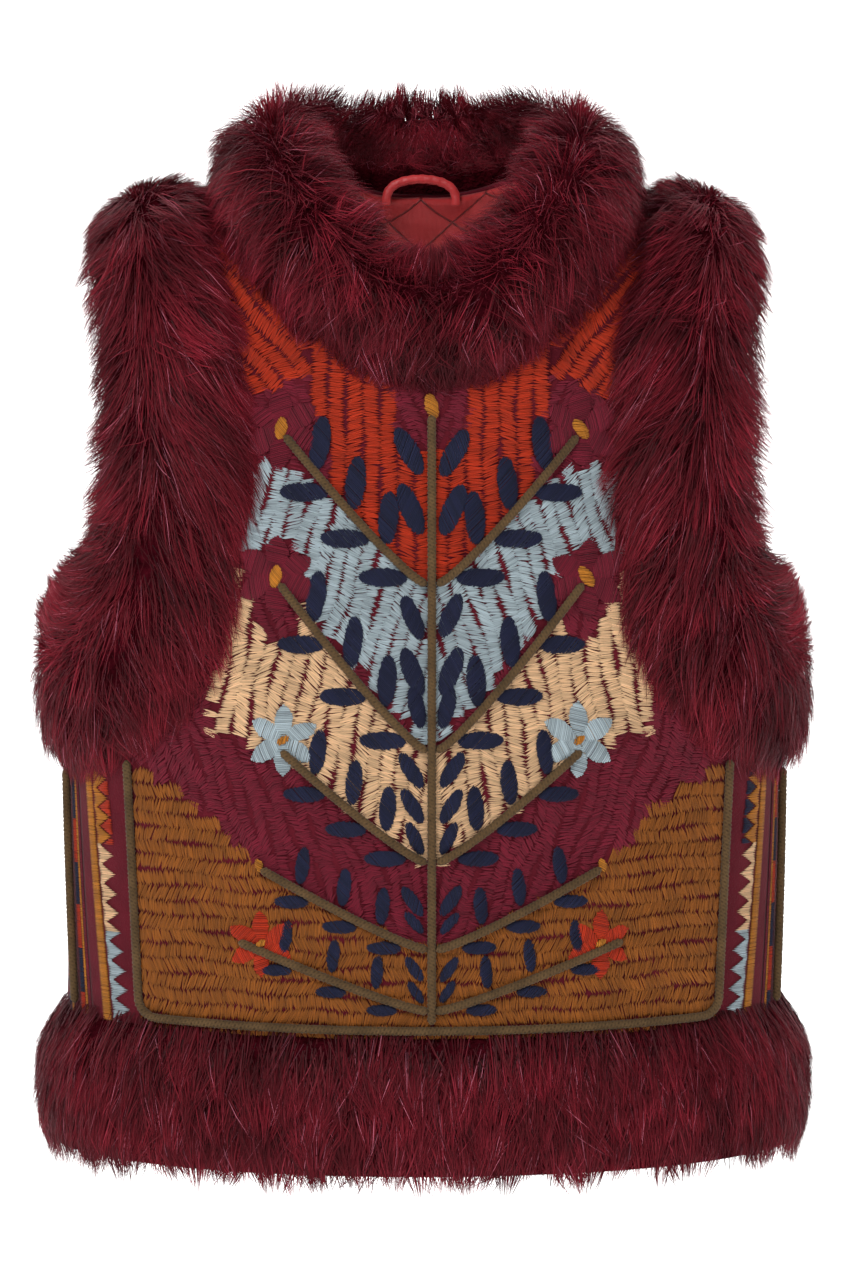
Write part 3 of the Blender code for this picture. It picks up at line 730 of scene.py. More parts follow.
def sew_oval(thread, centre, turn, length, width, rise, slant, rng, lift=0.0012, blunt=0.5):
    """A padded oval: slanting satin stitches that arch over its middle."""
    count = max(5, int(length / OVAL_PITCH))
    share = (np.arange(count) + 0.5) / count * 2 - 1
    half = width / 2 * np.maximum(1 - np.abs(share) ** 2.4, 0.02) ** blunt
    half = half * rng.uniform(0.93, 1.07, count)
    axis = np.array((math.cos(turn), math.sin(turn)))
    cross = np.array((-axis[1], axis[0])) * math.cos(slant) + axis * math.sin(slant)
    middle = np.asarray(centre)[None, :] + axis[None, :] * (share * length / 2)[:, None]
    grid = middle[:, None, None, :] + cross * (half[:, None, None] * OVAL_STEPS[:, None])[..., None]
    jitter = rng.uniform(-0.0002, 0.0002, (count, 1, 1, 2))
    grid = grid + axis * (OVAL_THICK * STRAND_HALF_WIDTH)[None, None, :, None] + jitter
    dome = rise * (half / (width / 2)) ** 0.8
    raised = lift + dome[:, None, None] * OVAL_ARCH[:, None] + STRAND_RISE * OVAL_RIDGE
    vertices = on_front(grid[..., 0], grid[..., 1], raised)
    quads = (np.arange(count) * 15)[:, None, None] + grid_faces(5, 3)
    tone = 1 + rng.uniform(-0.25, 0.25, (count, 1, 1))
    # Strand edges darker than their ridges: painted shade between the satin strands, over a random tone
    # per stitch.
    tones = np.broadcast_to((tone * (0.50 + 0.60 * OVAL_RIDGE))[..., None], (count, 5, 3, 3))
    HEAPS[thread].append((vertices.reshape(-1, 3), np.zeros((0, 3), int), quads.reshape(-1, 4),
                          tones.reshape(-1, 3)))


def sew_star(thread, centre, radius, width, rng, petals=6):
    """A star flower of pointed petals in satin stitch, with cloth showing between them."""
    for petal in range(petals):
        turn = 2 * math.pi * petal / petals + math.pi / petals + rng.uniform(-0.08, 0.08)
        reach = radius * rng.uniform(0.92, 1.08)
        middle = (centre[0] + math.cos(turn) * reach * 0.53, centre[1] + math.sin(turn) * reach * 0.53)
        sew_oval(thread, middle, turn, reach * 0.94, reach * width, 0.0012,
                 rng.uniform(-0.35, 0.35), rng, 0.0012, 0.95)


UPPER_LEAF = (0.0275, 0.0136)  # length and width
LOWER_LEAF = (0.0250, 0.0128)
LEAF_RISE = 0.0019
LEAF_SIZES = (1.0, 0.96, 0.84, 0.70, 0.62)
STEM_LEAVES = (
    # (height, length, turn_from_upright)
    (-0.156, 0.027, 36), (-0.187, 0.028, 30),
    (-0.246, 0.024, 30), (-0.276, 0.026, 28), (-0.296, 0.022, 20),
    (-0.331, 0.021, 40), (-0.350, 0.020, 38), (-0.368, 0.018, 32),
    (-0.402, 0.018, 42), (-0.414, 0.014, 48),
    (-0.440, 0.015, 42), (-0.452, 0.013, 40),
)
BUD = (0.0115, 0.0080, 0.0026, 0.002)
BRANCH_TIPS = (
    # (star_thread, radius, petal_width, out, up, turn, turn_by_side, (length, width, rise, lift))
    ("burgundy", 0.0225, 0.58, 0.002, 0.004, math.pi / 2, 0.4, BUD),
    ("burgundy", 0.0225, 0.58, 0.002, 0.004, math.pi / 2, 0.4, BUD),
    ("blue", 0.0205, 0.50, -0.001, 0.006, 0.3, 0, (0.0060, 0.0050, 0.0018, 0.0022)),
    (None, 0, 0, 0.001, 0.002, math.pi / 2, 0, (0.0065, 0.0052, 0.0018, 0.002)),
    ("orange", 0.0190, 0.50, -0.012, -0.001, 0.3, 0, (0.0050, 0.0045, 0.0018, 0.0022)),
)


def sew_leaves():
    """Leaf pairs along the stem and the branches, and what stands at their tips."""
    rng = np.random.default_rng(21)
    for side in (-1, 1):
        for height, length, turn in STEM_LEAVES:
            upright = math.radians(turn)
            away = 0.0045 + length / 2 * math.sin(upright)
            centre = (side * away, height + rng.uniform(-0.0008, 0.0008))
            sew_oval("navy", centre, math.pi / 2 - side * upright, length, length * 0.50, 0.0018,
                     0.6 * side, rng)
        for size, branch, branch_tip in zip(LEAF_SIZES, BRANCHES, BRANCH_TIPS):
            for share in (0.26, 0.50, 0.76):
                x = blend(BRANCH_START, branch[1], share)
                length = UPPER_LEAF[0] * size
                turn = math.radians(10 + 6 * share)
                centre = (side * (x - 0.002 + length / 2 * math.sin(turn) * 0.2),
                          float(branch_height(x, *branch)) + 0.0045 + length / 2 * math.cos(turn))
                sew_oval("navy", centre, math.pi / 2 + side * turn, length, UPPER_LEAF[1] * size,
                         LEAF_RISE, -0.6 * side, rng)
            for share in (0.16, 0.44, 0.74):
                x = blend(BRANCH_START, branch[1], share)
                length = LOWER_LEAF[0] * size
                centre = (side * (x + length * 0.36), float(branch_height(x, *branch)) - 0.0075 * size)
                sew_oval("navy", centre, math.radians(-6) * side, length, LOWER_LEAF[1] * size,
                         LEAF_RISE, 0.6 * side, rng)
            thread, radius, petal_width, out, up, turn, turn_by_side, bud = branch_tip
            centre = (side * (branch[1] + out), branch[2] + up)
            if thread:
                sew_star(thread, centre, radius, petal_width, rng)
            length, width, rise, lift = bud
            sew_oval("gold", centre, turn + turn_by_side * side, length, width, rise, 0.5, rng, lift)
    sew_oval("gold", (0.0, STEM_TOP + 0.005), math.pi / 2, 0.0125, 0.0088, 0.0028, 0.5, rng, 0.002)


STRIP_FOOT_LEVEL = 0.150
STRIP_ROW_STEP = 0.0028
STRIP_ROW_HEIGHT = 0.00100


def sew_side_strips():
    """Gold stripes and toothed strips beside both side seams."""
    rng = np.random.default_rng(31)
    levels = np.arange(STRIP_FOOT_LEVEL, UNDERARM_LEVEL, STRIP_ROW_STEP)
    heights = blend(HEM_HEIGHT, CHEST_HEIGHT, levels)
    wave = 0.5 + 0.5 * tooth(heights, 0.0105, 1.0)
    front_teeth = 0.0225 + 0.0040 + 0.0120 * wave
    back_teeth = -0.0290 - 0.0030 - 0.0090 * wave
    all_over = np.ones(levels.shape, bool)
    cream = (heights < -0.372) & (heights > -0.420)
    blue = heights <= -0.420
    rest = ~(cream | blue)
    patch = np.floor(heights / 0.045).astype(int) % 2 == 0
    for side in (-1, 1):
        near = np.floor(heights / 0.024).astype(int) % 2 == (side > 0)
        strips = (
            # (thread, start, end, rows), in metres in front of the seam
            ("burgundy", -0.0018, 0.0022, all_over),
            ("gold", -0.0048, -0.0022, all_over),
            ("orange", -0.0126, -0.0052, near),
            ("navy", -0.0126, -0.0052, ~near),
            ("gold", 0.0132, 0.0225, all_over),
            ("tan", 0.0228, front_teeth, cream),
            ("blue", 0.0228, front_teeth, blue),
            ("gold", 0.0228, front_teeth, rest),
            ("orange" if side < 0 else "navy", front_teeth + 0.0004, 0.0395, rest & (wave < 0.75)),
            ("gold", -0.0290, -0.0255, all_over),
            ("orange", back_teeth, -0.0293, patch),
            ("navy", back_teeth, -0.0293, ~patch),
        )
        for thread, start, end, rows in strips:
            start, end = (np.broadcast_to(edge, levels.shape)[rows] for edge in (start, end))
            jitter = rng.uniform(-0.0005, 0.0005, rows.sum())
            sew(thread, lambda u, v, lift: beside_seam(side, u, v, lift), (start + end) / 2,
                levels[rows] + jitter, np.array((1.0, 0.0)) * np.ones((rows.sum(), 1)), end - start,
                STRIP_ROW_HEIGHT / (CHEST_HEIGHT - HEM_HEIGHT), 0.0010, 0.0003, rng)


# Cords
CORD_RING_SPACING = 0.0011
CORD_LAY = 0.0078
CORD_PLIES = 3
CORD_SIDES = 12
CORD_GROOVE = 0.66
CORD_LOBE = 0.40
CORD_END = 0.0015
LOOP_SUNK = 0.008
LOOP_INWARD = 0.0115


def spaced_path(points, spacing):
    points = np.asarray(points, float)
    run = length_run(points)
    marks = np.linspace(0, run[-1], max(3, int(run[-1] / spacing) + 1))
    return np.stack([np.interp(marks, run, points[:, axis]) for axis in range(3)], axis=-1)


def length_run(path):
    return np.concatenate(([0], np.cumsum(np.linalg.norm(np.diff(path, axis=0), axis=1))))


def tube(name, node, path, first, second, radius, material, tones=None):
    """A capped tube round a path, with a row of radii for each ring."""
    rings, sides = radius.shape
    around = np.arange(sides) / sides * 2 * math.pi
    vertices = path[:, None, :] + first[:, None, :] * (np.cos(around) * radius)[..., None] \
        + second[:, None, :] * (np.sin(around) * radius)[..., None]
    caps = np.stack((np.arange(sides)[::-1], np.arange(sides) + (rings - 1) * sides))
    make_piece(name, vertices, [grid_faces(rings, sides, close_columns=True), caps], material,
               tones, node)


def twisted_cord(node, points):
    """A cord of three twisted plies along a line of points."""
    path = spaced_path(points, CORD_RING_SPACING)
    tangent = unit(np.gradient(path, axis=0))
    first = unit(np.cross(tangent, np.array((0.0, 1.0, 0.0))))
    run = length_run(path)
    turn = np.arange(CORD_SIDES) / CORD_SIDES * 2 * math.pi
    phase = run[:, None] / CORD_LAY * 2 * math.pi
    lobe = np.abs(np.cos(CORD_PLIES / 2 * (turn[None, :] + phase)))
    ends = np.clip(np.minimum(run, run[-1] - run) / CORD_END, 0.35, 1)
    radius = CORD_RADIUS * (CORD_GROOVE + CORD_LOBE * lobe) * ends[:, None]
    # Painted shade in the grooves between the plies, lighter on the lobes.
    tones = np.broadcast_to((0.30 + 0.95 * lobe)[..., None], (len(path), CORD_SIDES, 3))
    name = node.replace("_cord", "") + "_twist"
    tube(name, node, path, first, np.cross(first, tangent), radius, CORD_WOOL, tones)


def cord_on_front(node, across, height):
    twisted_cord(node, on_front(across, height, np.full(len(across), CORD_RADIUS + CORD_LIFT)))


def make_cords():
    cord_on_front("stem_cord", np.zeros(80), np.linspace(STEM_TOP, STEM_FOOT, 80))
    sides = ((-1, "left"), (1, "right"))
    for number, (foot, tip_across, tip) in enumerate(BRANCHES, 1):
        share = np.linspace(-0.04, 1, 40)
        across = blend(BRANCH_START, tip_across, share)
        height = blend(foot, tip, np.sign(share) * np.abs(share) ** BRANCH_BEND)
        for side, word in sides:
            cord_on_front(f"branch_{number}_{word}", across * side, height)
    foot, corner = FRONT_BORDER_FOOT, FRONT_BORDER_CORNER
    turn = np.linspace(0, math.pi / 2, 9)[1:-1]
    down = np.linspace(0, 1, 30)
    half_x = np.concatenate((blend(FRONT_BORDER_TOP_ACROSS, FRONT_BORDER_FOOT_ACROSS, down),
                             FRONT_BORDER_FOOT_ACROSS - corner * (1 - np.cos(turn)),
                             np.linspace(FRONT_BORDER_FOOT_ACROSS - corner, 0, 40)))
    half_z = np.concatenate((blend(FRONT_BORDER_TOP, foot + corner, down),
                             foot + corner * (1 - np.sin(turn)), np.full(40, foot)))
    nearness = np.maximum(0, 1 - (half_z - foot) / (FRONT_BORDER_TOP - foot))
    half_z = half_z - hem_sag(half_x) * nearness
    cord_on_front("front_border", np.concatenate((half_x, -half_x[-2::-1])),
                  np.concatenate((half_z, half_z[-2::-1])))
    level = level_of(np.linspace(BACK_BORDER_TOP, BACK_BORDER_FOOT, 40))
    for side, word in sides:
        angle = (seam_angle(level) + BACK_BORDER_BEHIND_SEAM) * side
        twisted_cord(f"back_border_{word}", above_form(angle, level, CORD_RADIUS + CORD_LIFT))


def make_hanger_loop():
    """A satin tube, pressed a little flat, with fine folds across its bend."""
    turn = np.linspace(0, math.pi, 60)
    place, _ = on_form(drop_on_form(0, NECK_CENTRE_Y + NECK_RADIUS))
    low = place.z - LOOP_SUNK
    path = spaced_path(np.stack((
        LOOP_HALF_WIDTH * np.cos(turn), np.full(60, place.y - LOOP_INWARD),
        low + (LOOP_RISE + LOOP_SUNK) * np.sin(turn) ** 0.6), axis=-1), 0.0008)
    tangent = unit(np.gradient(path, axis=0))
    depth = np.broadcast_to(np.array((0.0, 1.0, 0.0)), tangent.shape)
    sides, rings = 20, len(path)
    around = np.arange(sides) / sides * 2 * math.pi
    rng = np.random.default_rng(41)
    folds = 1 + 0.05 * np.sin(np.arange(rings) * 0.9 + rng.uniform(0, 1, rings))[:, None] \
        * np.cos(2 * around)[None, :]
    tube("hanger_loop_satin", "hanger_loop", path, np.cross(tangent, depth), depth * 0.85,
         LOOP_RADIUS * 0.80 * folds, SATIN_TUBE)


# Fur
def build_form_tree():
    turns, levels = 144, 110
    angle = np.linspace(-180, 180, turns, endpoint=False)[None, :]
    level = (-0.15 + 2.149 * np.arange(levels + 1) / levels)[:, None]
    angle, level = np.broadcast_arrays(angle, level)
    points, normals = ([Vector(row) for row in values(angle, level).reshape(-1, 3)]
                       for values in (form_point, form_normal))
    quads = grid_faces(levels + 1, turns, close_columns=True)
    triangles = np.concatenate((quads[:, (0, 1, 2)], quads[:, (0, 2, 3)])).tolist()
    return BVHTree.FromPolygons(points, triangles), points, normals, triangles


FORM_TREE, FORM_POINTS, FORM_NORMALS, FORM_TRIANGLES = build_form_tree()


def on_form(point):
    """The nearest place on the form, and the smooth normal there."""
    place, _, index, _ = FORM_TREE.find_nearest(point)
    corners = FORM_TRIANGLES[index]
    normal = barycentric_transform(place, *[FORM_POINTS[corner] for corner in corners],
                                   *[FORM_NORMALS[corner] for corner in corners])
    return place, normal.normalized()


def drop_on_form(across, depth):
    """The form's highest point at a place seen from above."""
    return FORM_TREE.ray_cast(Vector((across, depth, 0.2)), Vector((0, 0, -1)))[0]


class FurStrip:
    """A closed strip of places over the form: round it by share, across it in metres."""

    reach_in, reach_out, spacing = -0.040, 0.125, 0.005

    def __init__(self, stations, turned=1):
        steps_out = round(self.reach_out / self.spacing)
        steps_in = round(-self.reach_in / self.spacing)
        self.count = len(stations)
        rows, ways, tangents, aways = [], [], [], []
        for number, (place, normal) in enumerate(stations):
            following = stations[(number + 1) % self.count][0]
            tangent = (following - stations[number - 1][0]).normalized()
            away = (tangent.cross(normal) * turned).normalized()
            line = [place + away * (-self.spacing * step) for step in range(steps_in, -1, -1)]
            way_line = [normal] * (steps_in + 1)
            spot, spot_normal, heading = place, normal, away
            for _ in range(steps_out):
                heading = (heading - spot_normal * heading.dot(spot_normal)).normalized()
                spot, spot_normal = on_form(spot + heading * self.spacing)
                line.append(spot)
                way_line.append(spot_normal)
            rows.append([tuple(point) for point in line])
            ways.append([tuple(way) for way in way_line])
            tangents.append(tuple(tangent))
            aways.append(tuple(away))
        self.base = self.smoothed(np.array(rows), 1)
        self.way = unit(self.smoothed(np.array(ways), 2))
        self.tangent = np.array(tangents)
        self.away = np.array(aways)
        middle = self.base[:, steps_in]
        self.length = float(np.linalg.norm(middle - np.roll(middle, 1, axis=0), axis=1).sum())

    @staticmethod
    def smoothed(values, times):
        for _ in range(times):
            values = (np.roll(values, 1, axis=0) + 2 * values + np.roll(values, -1, axis=0)) / 4
        return values

    def mirror(self):
        for table in (self.base, self.way, self.tangent, self.away):
            table *= np.array((-1.0, 1.0, 1.0))

    def station(self, share):
        """The stations on either side of shares round the strip, and the share between them."""
        u = (np.asarray(share) % 1) * self.count
        i = np.floor(u).astype(int) % self.count
        return i, (i + 1) % self.count, (u - np.floor(u))[..., None]

    def at(self, share, along):
        """Place and normal at shares round the strip and distances across it."""
        i, j, fu = self.station(share)
        v = np.clip((np.asarray(along) - self.reach_in) / self.spacing, 0, self.base.shape[1] - 1.001)
        k = np.floor(v).astype(int)
        fv = (v - k)[..., None]
        place, way = (blend(blend(table[i, k], table[i, k + 1], fv),
                            blend(table[j, k], table[j, k + 1], fv), fu)
                      for table in (self.base, self.way))
        return place, unit(way)

    def line(self, table, share):
        i, j, fu = self.station(share)
        return blend(table[i], table[j], fu)


def section_place(strip, sizes, share, turn, depth, skirt=0.012):
    """A point of the fur body and its outward way: turn goes over the section, depth outwards."""
    offset, half_span, height, half_height = sizes(share)
    over, under = np.maximum(turn, 0), np.minimum(turn, 0)
    along = offset + half_span * depth * np.cos(over + under * (0.5 if skirt else 1)) - under * skirt
    lift = FUR_LIFT + OVERHANG_SLOPE * np.maximum(-along, 0)
    above = np.maximum((height + half_height * np.sin(turn)) * depth, lift)
    base, way = strip.at(share, along)
    ahead, behind = (strip.at(share, along + step)[0] for step in (0.003, -0.003))
    outward = unit(ahead - behind) * (np.cos(over) * half_height)[..., None]
    outward = unit(outward + way * (np.sin(over) * half_span + 0.3 * half_span)[..., None])
    return base + way * above[..., None], outward


HAIR_STEPS = np.array((0.0, 0.5, 1.0))
HAIR_GATHER = 1 - 0.72 * HAIR_STEPS ** 1.2
# Tones from root to tip: the dark roots are painted shade deep in the fur, and the tips are lighter.
HAIR_TONES = np.array((0.38, 0.38, 0.90, 0.90, 1.42))  # from root to tip
HAIR_LENGTH = 0.027
CLUMP_SPREAD = 0.0056
HAIRS_IN_CLUMP = 30
FLYAWAY_SHARE = 0.08
WAIST_HEIGHT = -0.190
WAIST_REACH = 0.028
SHADE_REACH = 0.024
# Painted highlights: a share of strands made pinker and lighter, and a few made pale and thin as glints.
ROSY_HIGHLIGHT_BELOW = 0.08
ROSY_HIGHLIGHT_TINT = np.array((1.7, 2.8, 2.5))
PAINTED_GLINT_ABOVE = 0.972
PAINTED_GLINT_TINT = np.array((4.2, 24.0, 17.0))


def make_hairs(name, facing, path, width, rng, lightness):
    """Tapered ribbons along paths of three points: mostly burgundy, a share with a pinkish painted
    highlight and a few with a pale painted glint.
    """
    count = len(path)
    tones = np.ones((count, 3)) * (rng.uniform(0.70, 1.25, count) * lightness)[:, None]
    pick = rng.random(count)
    rosy_highlight, painted_glint = pick < ROSY_HIGHLIGHT_BELOW, pick > PAINTED_GLINT_ABOVE
    tones[rosy_highlight] *= ROSY_HIGHLIGHT_TINT
    tones[painted_glint] *= PAINTED_GLINT_TINT
    width = width * np.where(painted_glint, 0.50, 1.0)
    side = unit(np.cross(unit(np.gradient(path, axis=1)), facing))
    side = unit(side + facing * rng.normal(0, 0.45, (count, 1, 1)))
    half = (width[:, None] * np.array((0.5, 0.42)))[..., None]
    edges = (path[:, :2] - side[:, :2] * half, path[:, :2] + side[:, :2] * half)
    vertices = np.concatenate((np.stack(edges, axis=2).reshape(count, 4, 3), path[:, 2:]), axis=1)
    base = (np.arange(count) * 5)[:, None]
    make_piece(name, vertices, [base + np.array((2, 3, 4)), base + np.array((0, 1, 3, 2))],
               FUR_HAIR, tones[:, None, :] * HAIR_TONES[None, :, None])


def grow_strip(name, strip, sizes, count, seed, parting, spread, pull, turn_range, waist=0, shade=0):
    """Clumped hair over a strip: it leaves a parting line and is pulled downwards.

    Waist makes it lie closer at one height. Shade darkens it at the centre front.
    """
    rng = np.random.default_rng(seed)
    clumps = count // HAIRS_IN_CLUMP
    clump_share = (np.arange(clumps) + rng.random(clumps)) / clumps
    clump_turn = rng.uniform(*turn_range, clumps)
    clump_tip = rng.uniform(0.88, 1.11, clumps)
    # Clumps whose tips stand further out are lighter and deeper ones darker: painted light and shade,
    # times a random tone.
    clump_light = blend(0.58, 1.30, (clump_tip - 0.88) / 0.23) * rng.uniform(0.72, 1.28, clumps)
    clump_reach = HAIR_LENGTH * rng.uniform(0.70, 1.15, clumps)
    sway = rng.normal(0, 0.22, clumps)
    pick = rng.integers(0, clumps, count)
    clump_share, clump_turn, clump_tip = clump_share[pick], clump_turn[pick], clump_tip[pick]
    share = clump_share + rng.normal(0, CLUMP_SPREAD, count) / strip.length
    turn = np.clip(clump_turn + rng.normal(0, 0.17, count), *turn_range)
    _, half_span, _, half_height = sizes(clump_share % 1)
    outward = np.clip((parting - turn) / 0.6, -1, 1) * spread
    move_out = outward - pull * strip.line(strip.away, clump_share)[:, 2]
    move_round = -pull * strip.line(strip.tangent, clump_share)[:, 2] + sway[pick]
    size = np.maximum(np.hypot(move_out, move_round), 0.85)
    upright = 1 - np.minimum(np.hypot(move_out, move_round) / 0.85, 1)
    reach = clump_reach[pick] * rng.uniform(0.8, 1.1, count)
    move_out, move_round = move_out / size * reach, move_round / size * reach
    arc = np.hypot(half_span * np.sin(turn), half_height * np.cos(turn)) * 0.85 + 0.006
    share_path = clump_share[:, None] + (share - clump_share)[:, None] * HAIR_GATHER \
        + move_round[:, None] * HAIR_STEPS / strip.length
    turn_path = clump_turn[:, None] + (turn - clump_turn)[:, None] * HAIR_GATHER \
        - (move_out / arc)[:, None] * HAIR_STEPS
    turn_path = np.clip(turn_path, turn_range[0] - 0.22, turn_range[1] + 0.25)
    root = rng.uniform(0.48, 0.84, count)
    tip = np.minimum(clump_tip + rng.normal(0, 0.035, count), 1.12) + 0.10 * upright \
        + 0.15 * np.clip((turn - 1.8) / 1.0, 0, 1)
    fly = rng.random(count) < FLYAWAY_SHARE
    tip = np.where(fly, rng.uniform(1.06, 1.20, count), tip)
    x, y, z = strip.at(share, np.zeros(count))[0].T
    tip -= waist * np.exp(-((z - WAIST_HEIGHT) / WAIST_REACH) ** 2)
    path, facing = section_place(strip, sizes, share_path, turn_path,
                                 blend(root[:, None], tip[:, None], HAIR_STEPS))
    width = rng.uniform(0.00038, 0.00068, count)
    at_front = np.exp(-(x / SHADE_REACH) ** 2) * (y < 0)
    # Upright hair, where the flow is weak, gets a painted highlight; shade paints shade on the collar at
    # the centre front.
    lightness = clump_light[pick] * (1 + 0.9 * upright) * (1 - shade * at_front)
    make_hairs(name, facing, path, width, rng, lightness)


def strip_skin(name, node, strip, sizes, turn_low, turn_high, depth):
    """The dense underhair: a closed body inside the hair, dark with painted shade so that gaps between
    hairs read as deep fur.
    """
    around, sides = 160, 24
    share, turn = np.broadcast_arrays(np.arange(around)[:, None] / around,
                                      np.linspace(turn_low, turn_high, sides)[None, :])
    points, _ = section_place(strip, sizes, share, turn, np.full(share.shape, depth), 0)
    make_piece(name, points, [grid_faces(around, sides, True, True)], FUR_UNDERHAIR_WITH_PAINTED_SHADE, node=node)


def collar_sizes(share):
    fraction = 1 - np.abs(1 - 2 * (np.asarray(share) % 1))
    return tuple(column_of(COLLAR_SECTIONS, fraction, column) for column in (1, 2, 3, 4))


def make_collar():
    stations = []
    count = 96
    for step in range(count):
        turn = 2 * math.pi * step / count - math.pi / 2
        hit = drop_on_form(NECK_RADIUS * math.cos(turn), NECK_CENTRE_Y + NECK_RADIUS * math.sin(turn))
        stations.append(on_form(hit))
    strip = FurStrip(stations)
    strip_skin("collar_underhair", "collar", strip, collar_sizes, -1.4, 4.5, 0.72)
    grow_strip("collar_hair", strip, collar_sizes, 53000, seed=101,
               parting=1.75, spread=1.0, pull=0.5, turn_range=(-0.70, 4.1), shade=0.35)


def armhole_sizes(share):
    fraction = np.asarray(share) % 1
    into, onto, top = (column_of(ARMHOLE_SECTIONS, fraction, column) for column in (1, 2, 3))
    return (onto - into) / 2, (onto + into) / 2, top * 0.40, top * 0.60


def make_armhole_trims():
    count = 132
    stations = []
    for step in range(count):
        climb = 1 - abs(1 - 2 * step / count)
        share = 1 - math.cos(climb * math.pi / 2)
        level = min(blend(UNDERARM_LEVEL, 2, share), 1.998)
        angle = front_edge_angle(share) if step <= count / 2 else back_edge_angle(share)
        point = form_point(angle, level)
        if step == count // 2:
            point[1] = 0
        stations.append(on_form(Vector(point)))
    strip = FurStrip(stations, turned=-1)
    for side, word in ((1, "right"), (-1, "left")):
        if side < 0:
            strip.mirror()
        strip_skin(f"armhole_{word}_underhair", f"armhole_trim_{word}", strip, armhole_sizes,
                   -1.3, 4.4, 0.70)
        grow_strip(f"armhole_{word}_hair", strip, armhole_sizes, 40000,
                   seed=200 + side, parting=1.8, spread=0.75, pull=0.8, turn_range=(-0.50, 3.6),
                   waist=0.20)


def hem_place(angle, share, depth):
    """A place of the hem fur: share goes down from its top edge, depth outwards."""
    height = blend(HEM_FUR_TOP, HEM_FUR_BOTTOM, share)
    level = level_of(height)
    place = form_point(angle, level)
    place[..., 2] = height - HEM_DIP * np.maximum(depth_factor(angle), 0) ** 2
    normal = unit(form_normal(angle, level) * np.array((1, 1, 0)))
    out = HEM_FUR_DEPTH * np.interp(share, HEM_PROFILE[:, 0], HEM_PROFILE[:, 1])
    return place + normal * (out * depth)[..., None], normal


def make_hem_band():
    around, outer_rows, inner_rows = 200, 12, 5
    angle = (360 * np.arange(around) / around - 180)[:, None]
    share = np.concatenate((np.linspace(0, 0.93, outer_rows),
                            np.linspace(0.90, 0.0, inner_rows)))[None, :]
    depth = np.repeat((0.62, 0.06), (outer_rows, inner_rows))[None, :]
    points, _ = hem_place(*np.broadcast_arrays(angle, share, depth))
    faces = grid_faces(around, outer_rows + inner_rows, True, True)
    # The hem's underhair body, dark with painted shade of the deep fur.
    make_piece("hem_underhair", points, [faces], FUR_UNDERHAIR_WITH_PAINTED_SHADE, node="hem_band")
    rng = np.random.default_rng(301)
    count = 53000
    clumps = count // HAIRS_IN_CLUMP
    girth, drop = 1.05, HEM_FUR_TOP - HEM_FUR_BOTTOM
    clump_angle = 360 * (np.arange(clumps) + rng.random(clumps)) / clumps - 180
    clump_top = rng.uniform(-0.06, 0.80, clumps)
    clump_light = rng.uniform(0.50, 1.48, clumps)
    clump_reach = rng.uniform(0.021, 0.031, clumps) / drop
    facing = depth_factor(clump_angle)
    lower = 0.11 * (1 - facing ** 2) + 0.05 * np.maximum(facing, 0) ** 8
    clump_end = rng.uniform(0.96, 1.11, clumps) + lower
    sway = rng.normal(0, 0.0040, clumps) / girth * 360
    pick = rng.integers(0, clumps, count)
    offset_angle = rng.normal(0, CLUMP_SPREAD, count) / girth * 360
    offset_top = rng.normal(0, 0.06, count)
    clump_top = clump_top[pick]
    angle_path = clump_angle[pick][:, None] + offset_angle[:, None] * HAIR_GATHER \
        + sway[pick][:, None] * HAIR_STEPS
    tip_share = np.minimum(clump_top + clump_reach[pick] * rng.uniform(0.85, 1.1, count),
                           clump_end[pick] - rng.uniform(0, 0.09, count))
    share_path = blend(clump_top[:, None], tip_share[:, None], HAIR_STEPS) \
        + offset_top[:, None] * HAIR_GATHER
    root = np.where(clump_top < 0.1, rng.uniform(0.1, 0.8, count), rng.uniform(0.35, 0.85, count))
    fly = rng.random(count) < 0.07
    tip = np.where(fly, rng.uniform(1.08, 1.30, count), rng.uniform(0.86, 1.12, count))
    path, way = hem_place(angle_path, np.clip(share_path, -0.08, 1.22),
                          blend(root[:, None], tip[:, None], HAIR_STEPS ** 0.8))
    width = rng.uniform(0.00040, 0.00072, count)
    make_hairs("hem_hair", way, path, width, rng, clump_light[pick])


# Stage
CAMERA_DISTANCE = 2.5
CAMERA_HEIGHT = -0.2546
CAMERA_TURN = math.radians(-2)
CAMERA_LENS = 123.6
FLOOR_HEIGHT = -0.95
FLOOR_RADIUS = 30.0


def add_light(name, place, target, size, energy):
    light = bpy.data.lights.new(name, "AREA")
    light.shape = "DISK"
    light.size = size
    light.energy = energy
    lamp = add_object(name, light)
    lamp.location = place
    lamp.rotation_euler = (Vector(target) - Vector(place)).to_track_quat("-Z", "Y").to_euler()


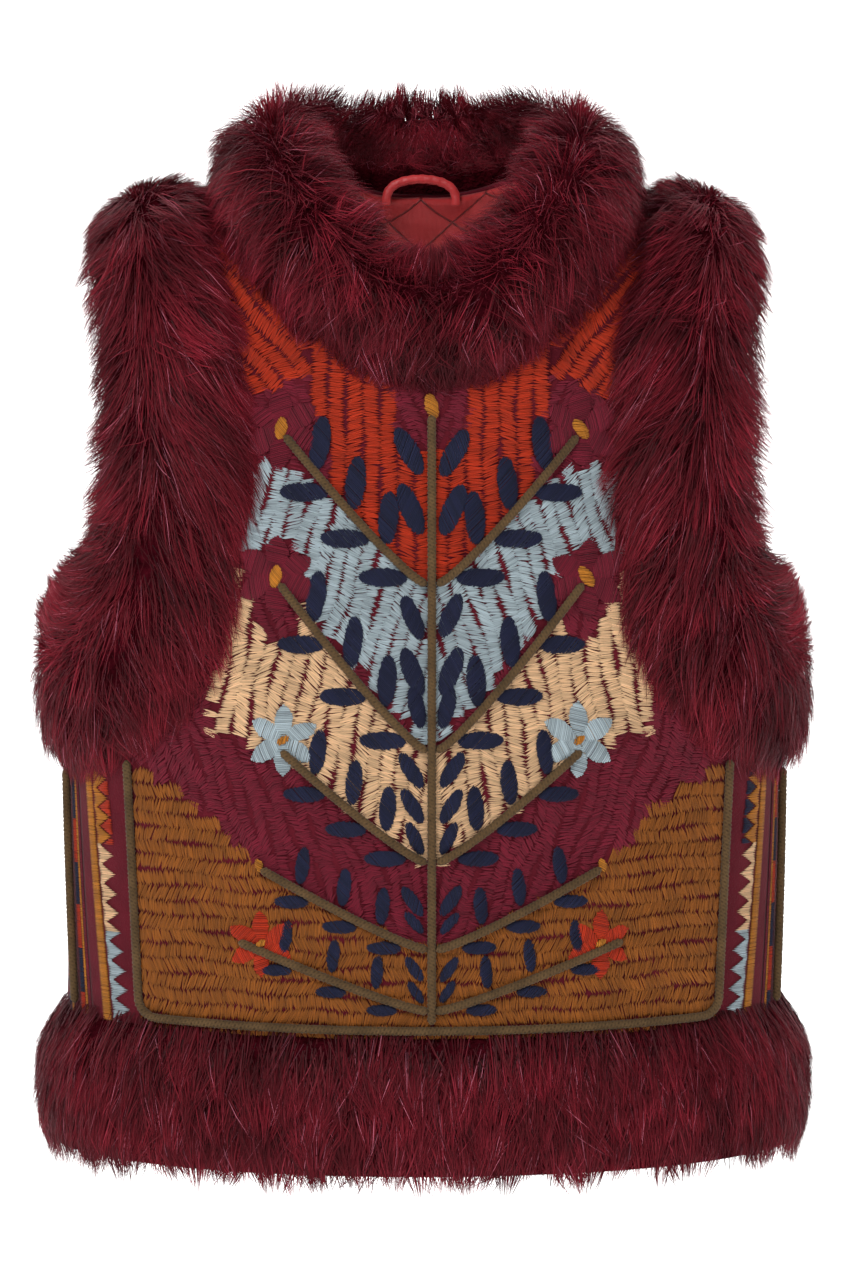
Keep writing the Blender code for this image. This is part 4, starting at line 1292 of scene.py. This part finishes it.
def make_backdrop():
    """A pale floor and a wall behind it, which glow a little so that no horizon shows."""
    white = bpy.data.materials.new("pale_floor")
    white.use_nodes = True
    shader = white.node_tree.nodes["Principled BSDF"]
    shader.inputs["Base Color"].default_value = (0.9, 0.9, 0.9, 1)
    shader.inputs["Roughness"].default_value = 0.9
    shader.inputs["Emission Color"].default_value = (1, 1, 1, 1)
    shader.inputs["Emission Strength"].default_value = 0.8
    white.cycles.emission_sampling = "NONE"
    turn = np.arange(64) / 64 * 2 * math.pi
    ring = [(FLOOR_RADIUS * math.cos(t), FLOOR_RADIUS * math.sin(t), FLOOR_HEIGHT) for t in turn]
    wall = [(x, 5.0, z) for x, z in ((-8, FLOOR_HEIGHT), (8, FLOOR_HEIGHT), (8, 7), (-8, 7))]
    for name, corners in (("floor", ring), ("back_wall", wall)):
        mesh = bpy.data.meshes.new(name)
        mesh.from_pydata(corners, [], [tuple(range(len(corners)))])
        mesh.materials.append(white)
        add_object(name, mesh)


def make_studio():
    world = bpy.data.worlds.new("studio")
    world.use_nodes = True
    world.node_tree.nodes["Background"].inputs["Color"].default_value = (1, 1, 1, 1)
    world.node_tree.nodes["Background"].inputs["Strength"].default_value = 0.50
    bpy.context.scene.world = world
    bpy.context.scene.view_settings.view_transform = "Standard"
    add_light("key", (-1.1, -2.0, 1.5), (0, 0, -0.2), 1.0, 44)
    add_light("fill", (1.8, -1.8, 0.3), (0, 0, -0.3), 1.6, 8)
    lens = bpy.data.cameras.new("camera")
    lens.sensor_fit = "VERTICAL"
    lens.sensor_height = 36
    lens.lens = CAMERA_LENS
    camera = add_object("camera", lens)
    camera.location = (CAMERA_DISTANCE * math.sin(CAMERA_TURN),
                       -CAMERA_DISTANCE * math.cos(CAMERA_TURN), CAMERA_HEIGHT)
    camera.rotation_euler = (math.pi / 2, 0, CAMERA_TURN)
    bpy.context.scene.camera = camera


make_front()
make_back()
make_back_lining()
sew_fields()
sew_leaves()
sew_side_strips()
build_stitches()
make_cords()
make_hanger_loop()
make_collar()
make_armhole_trims()
make_hem_band()
make_backdrop()
make_studio()
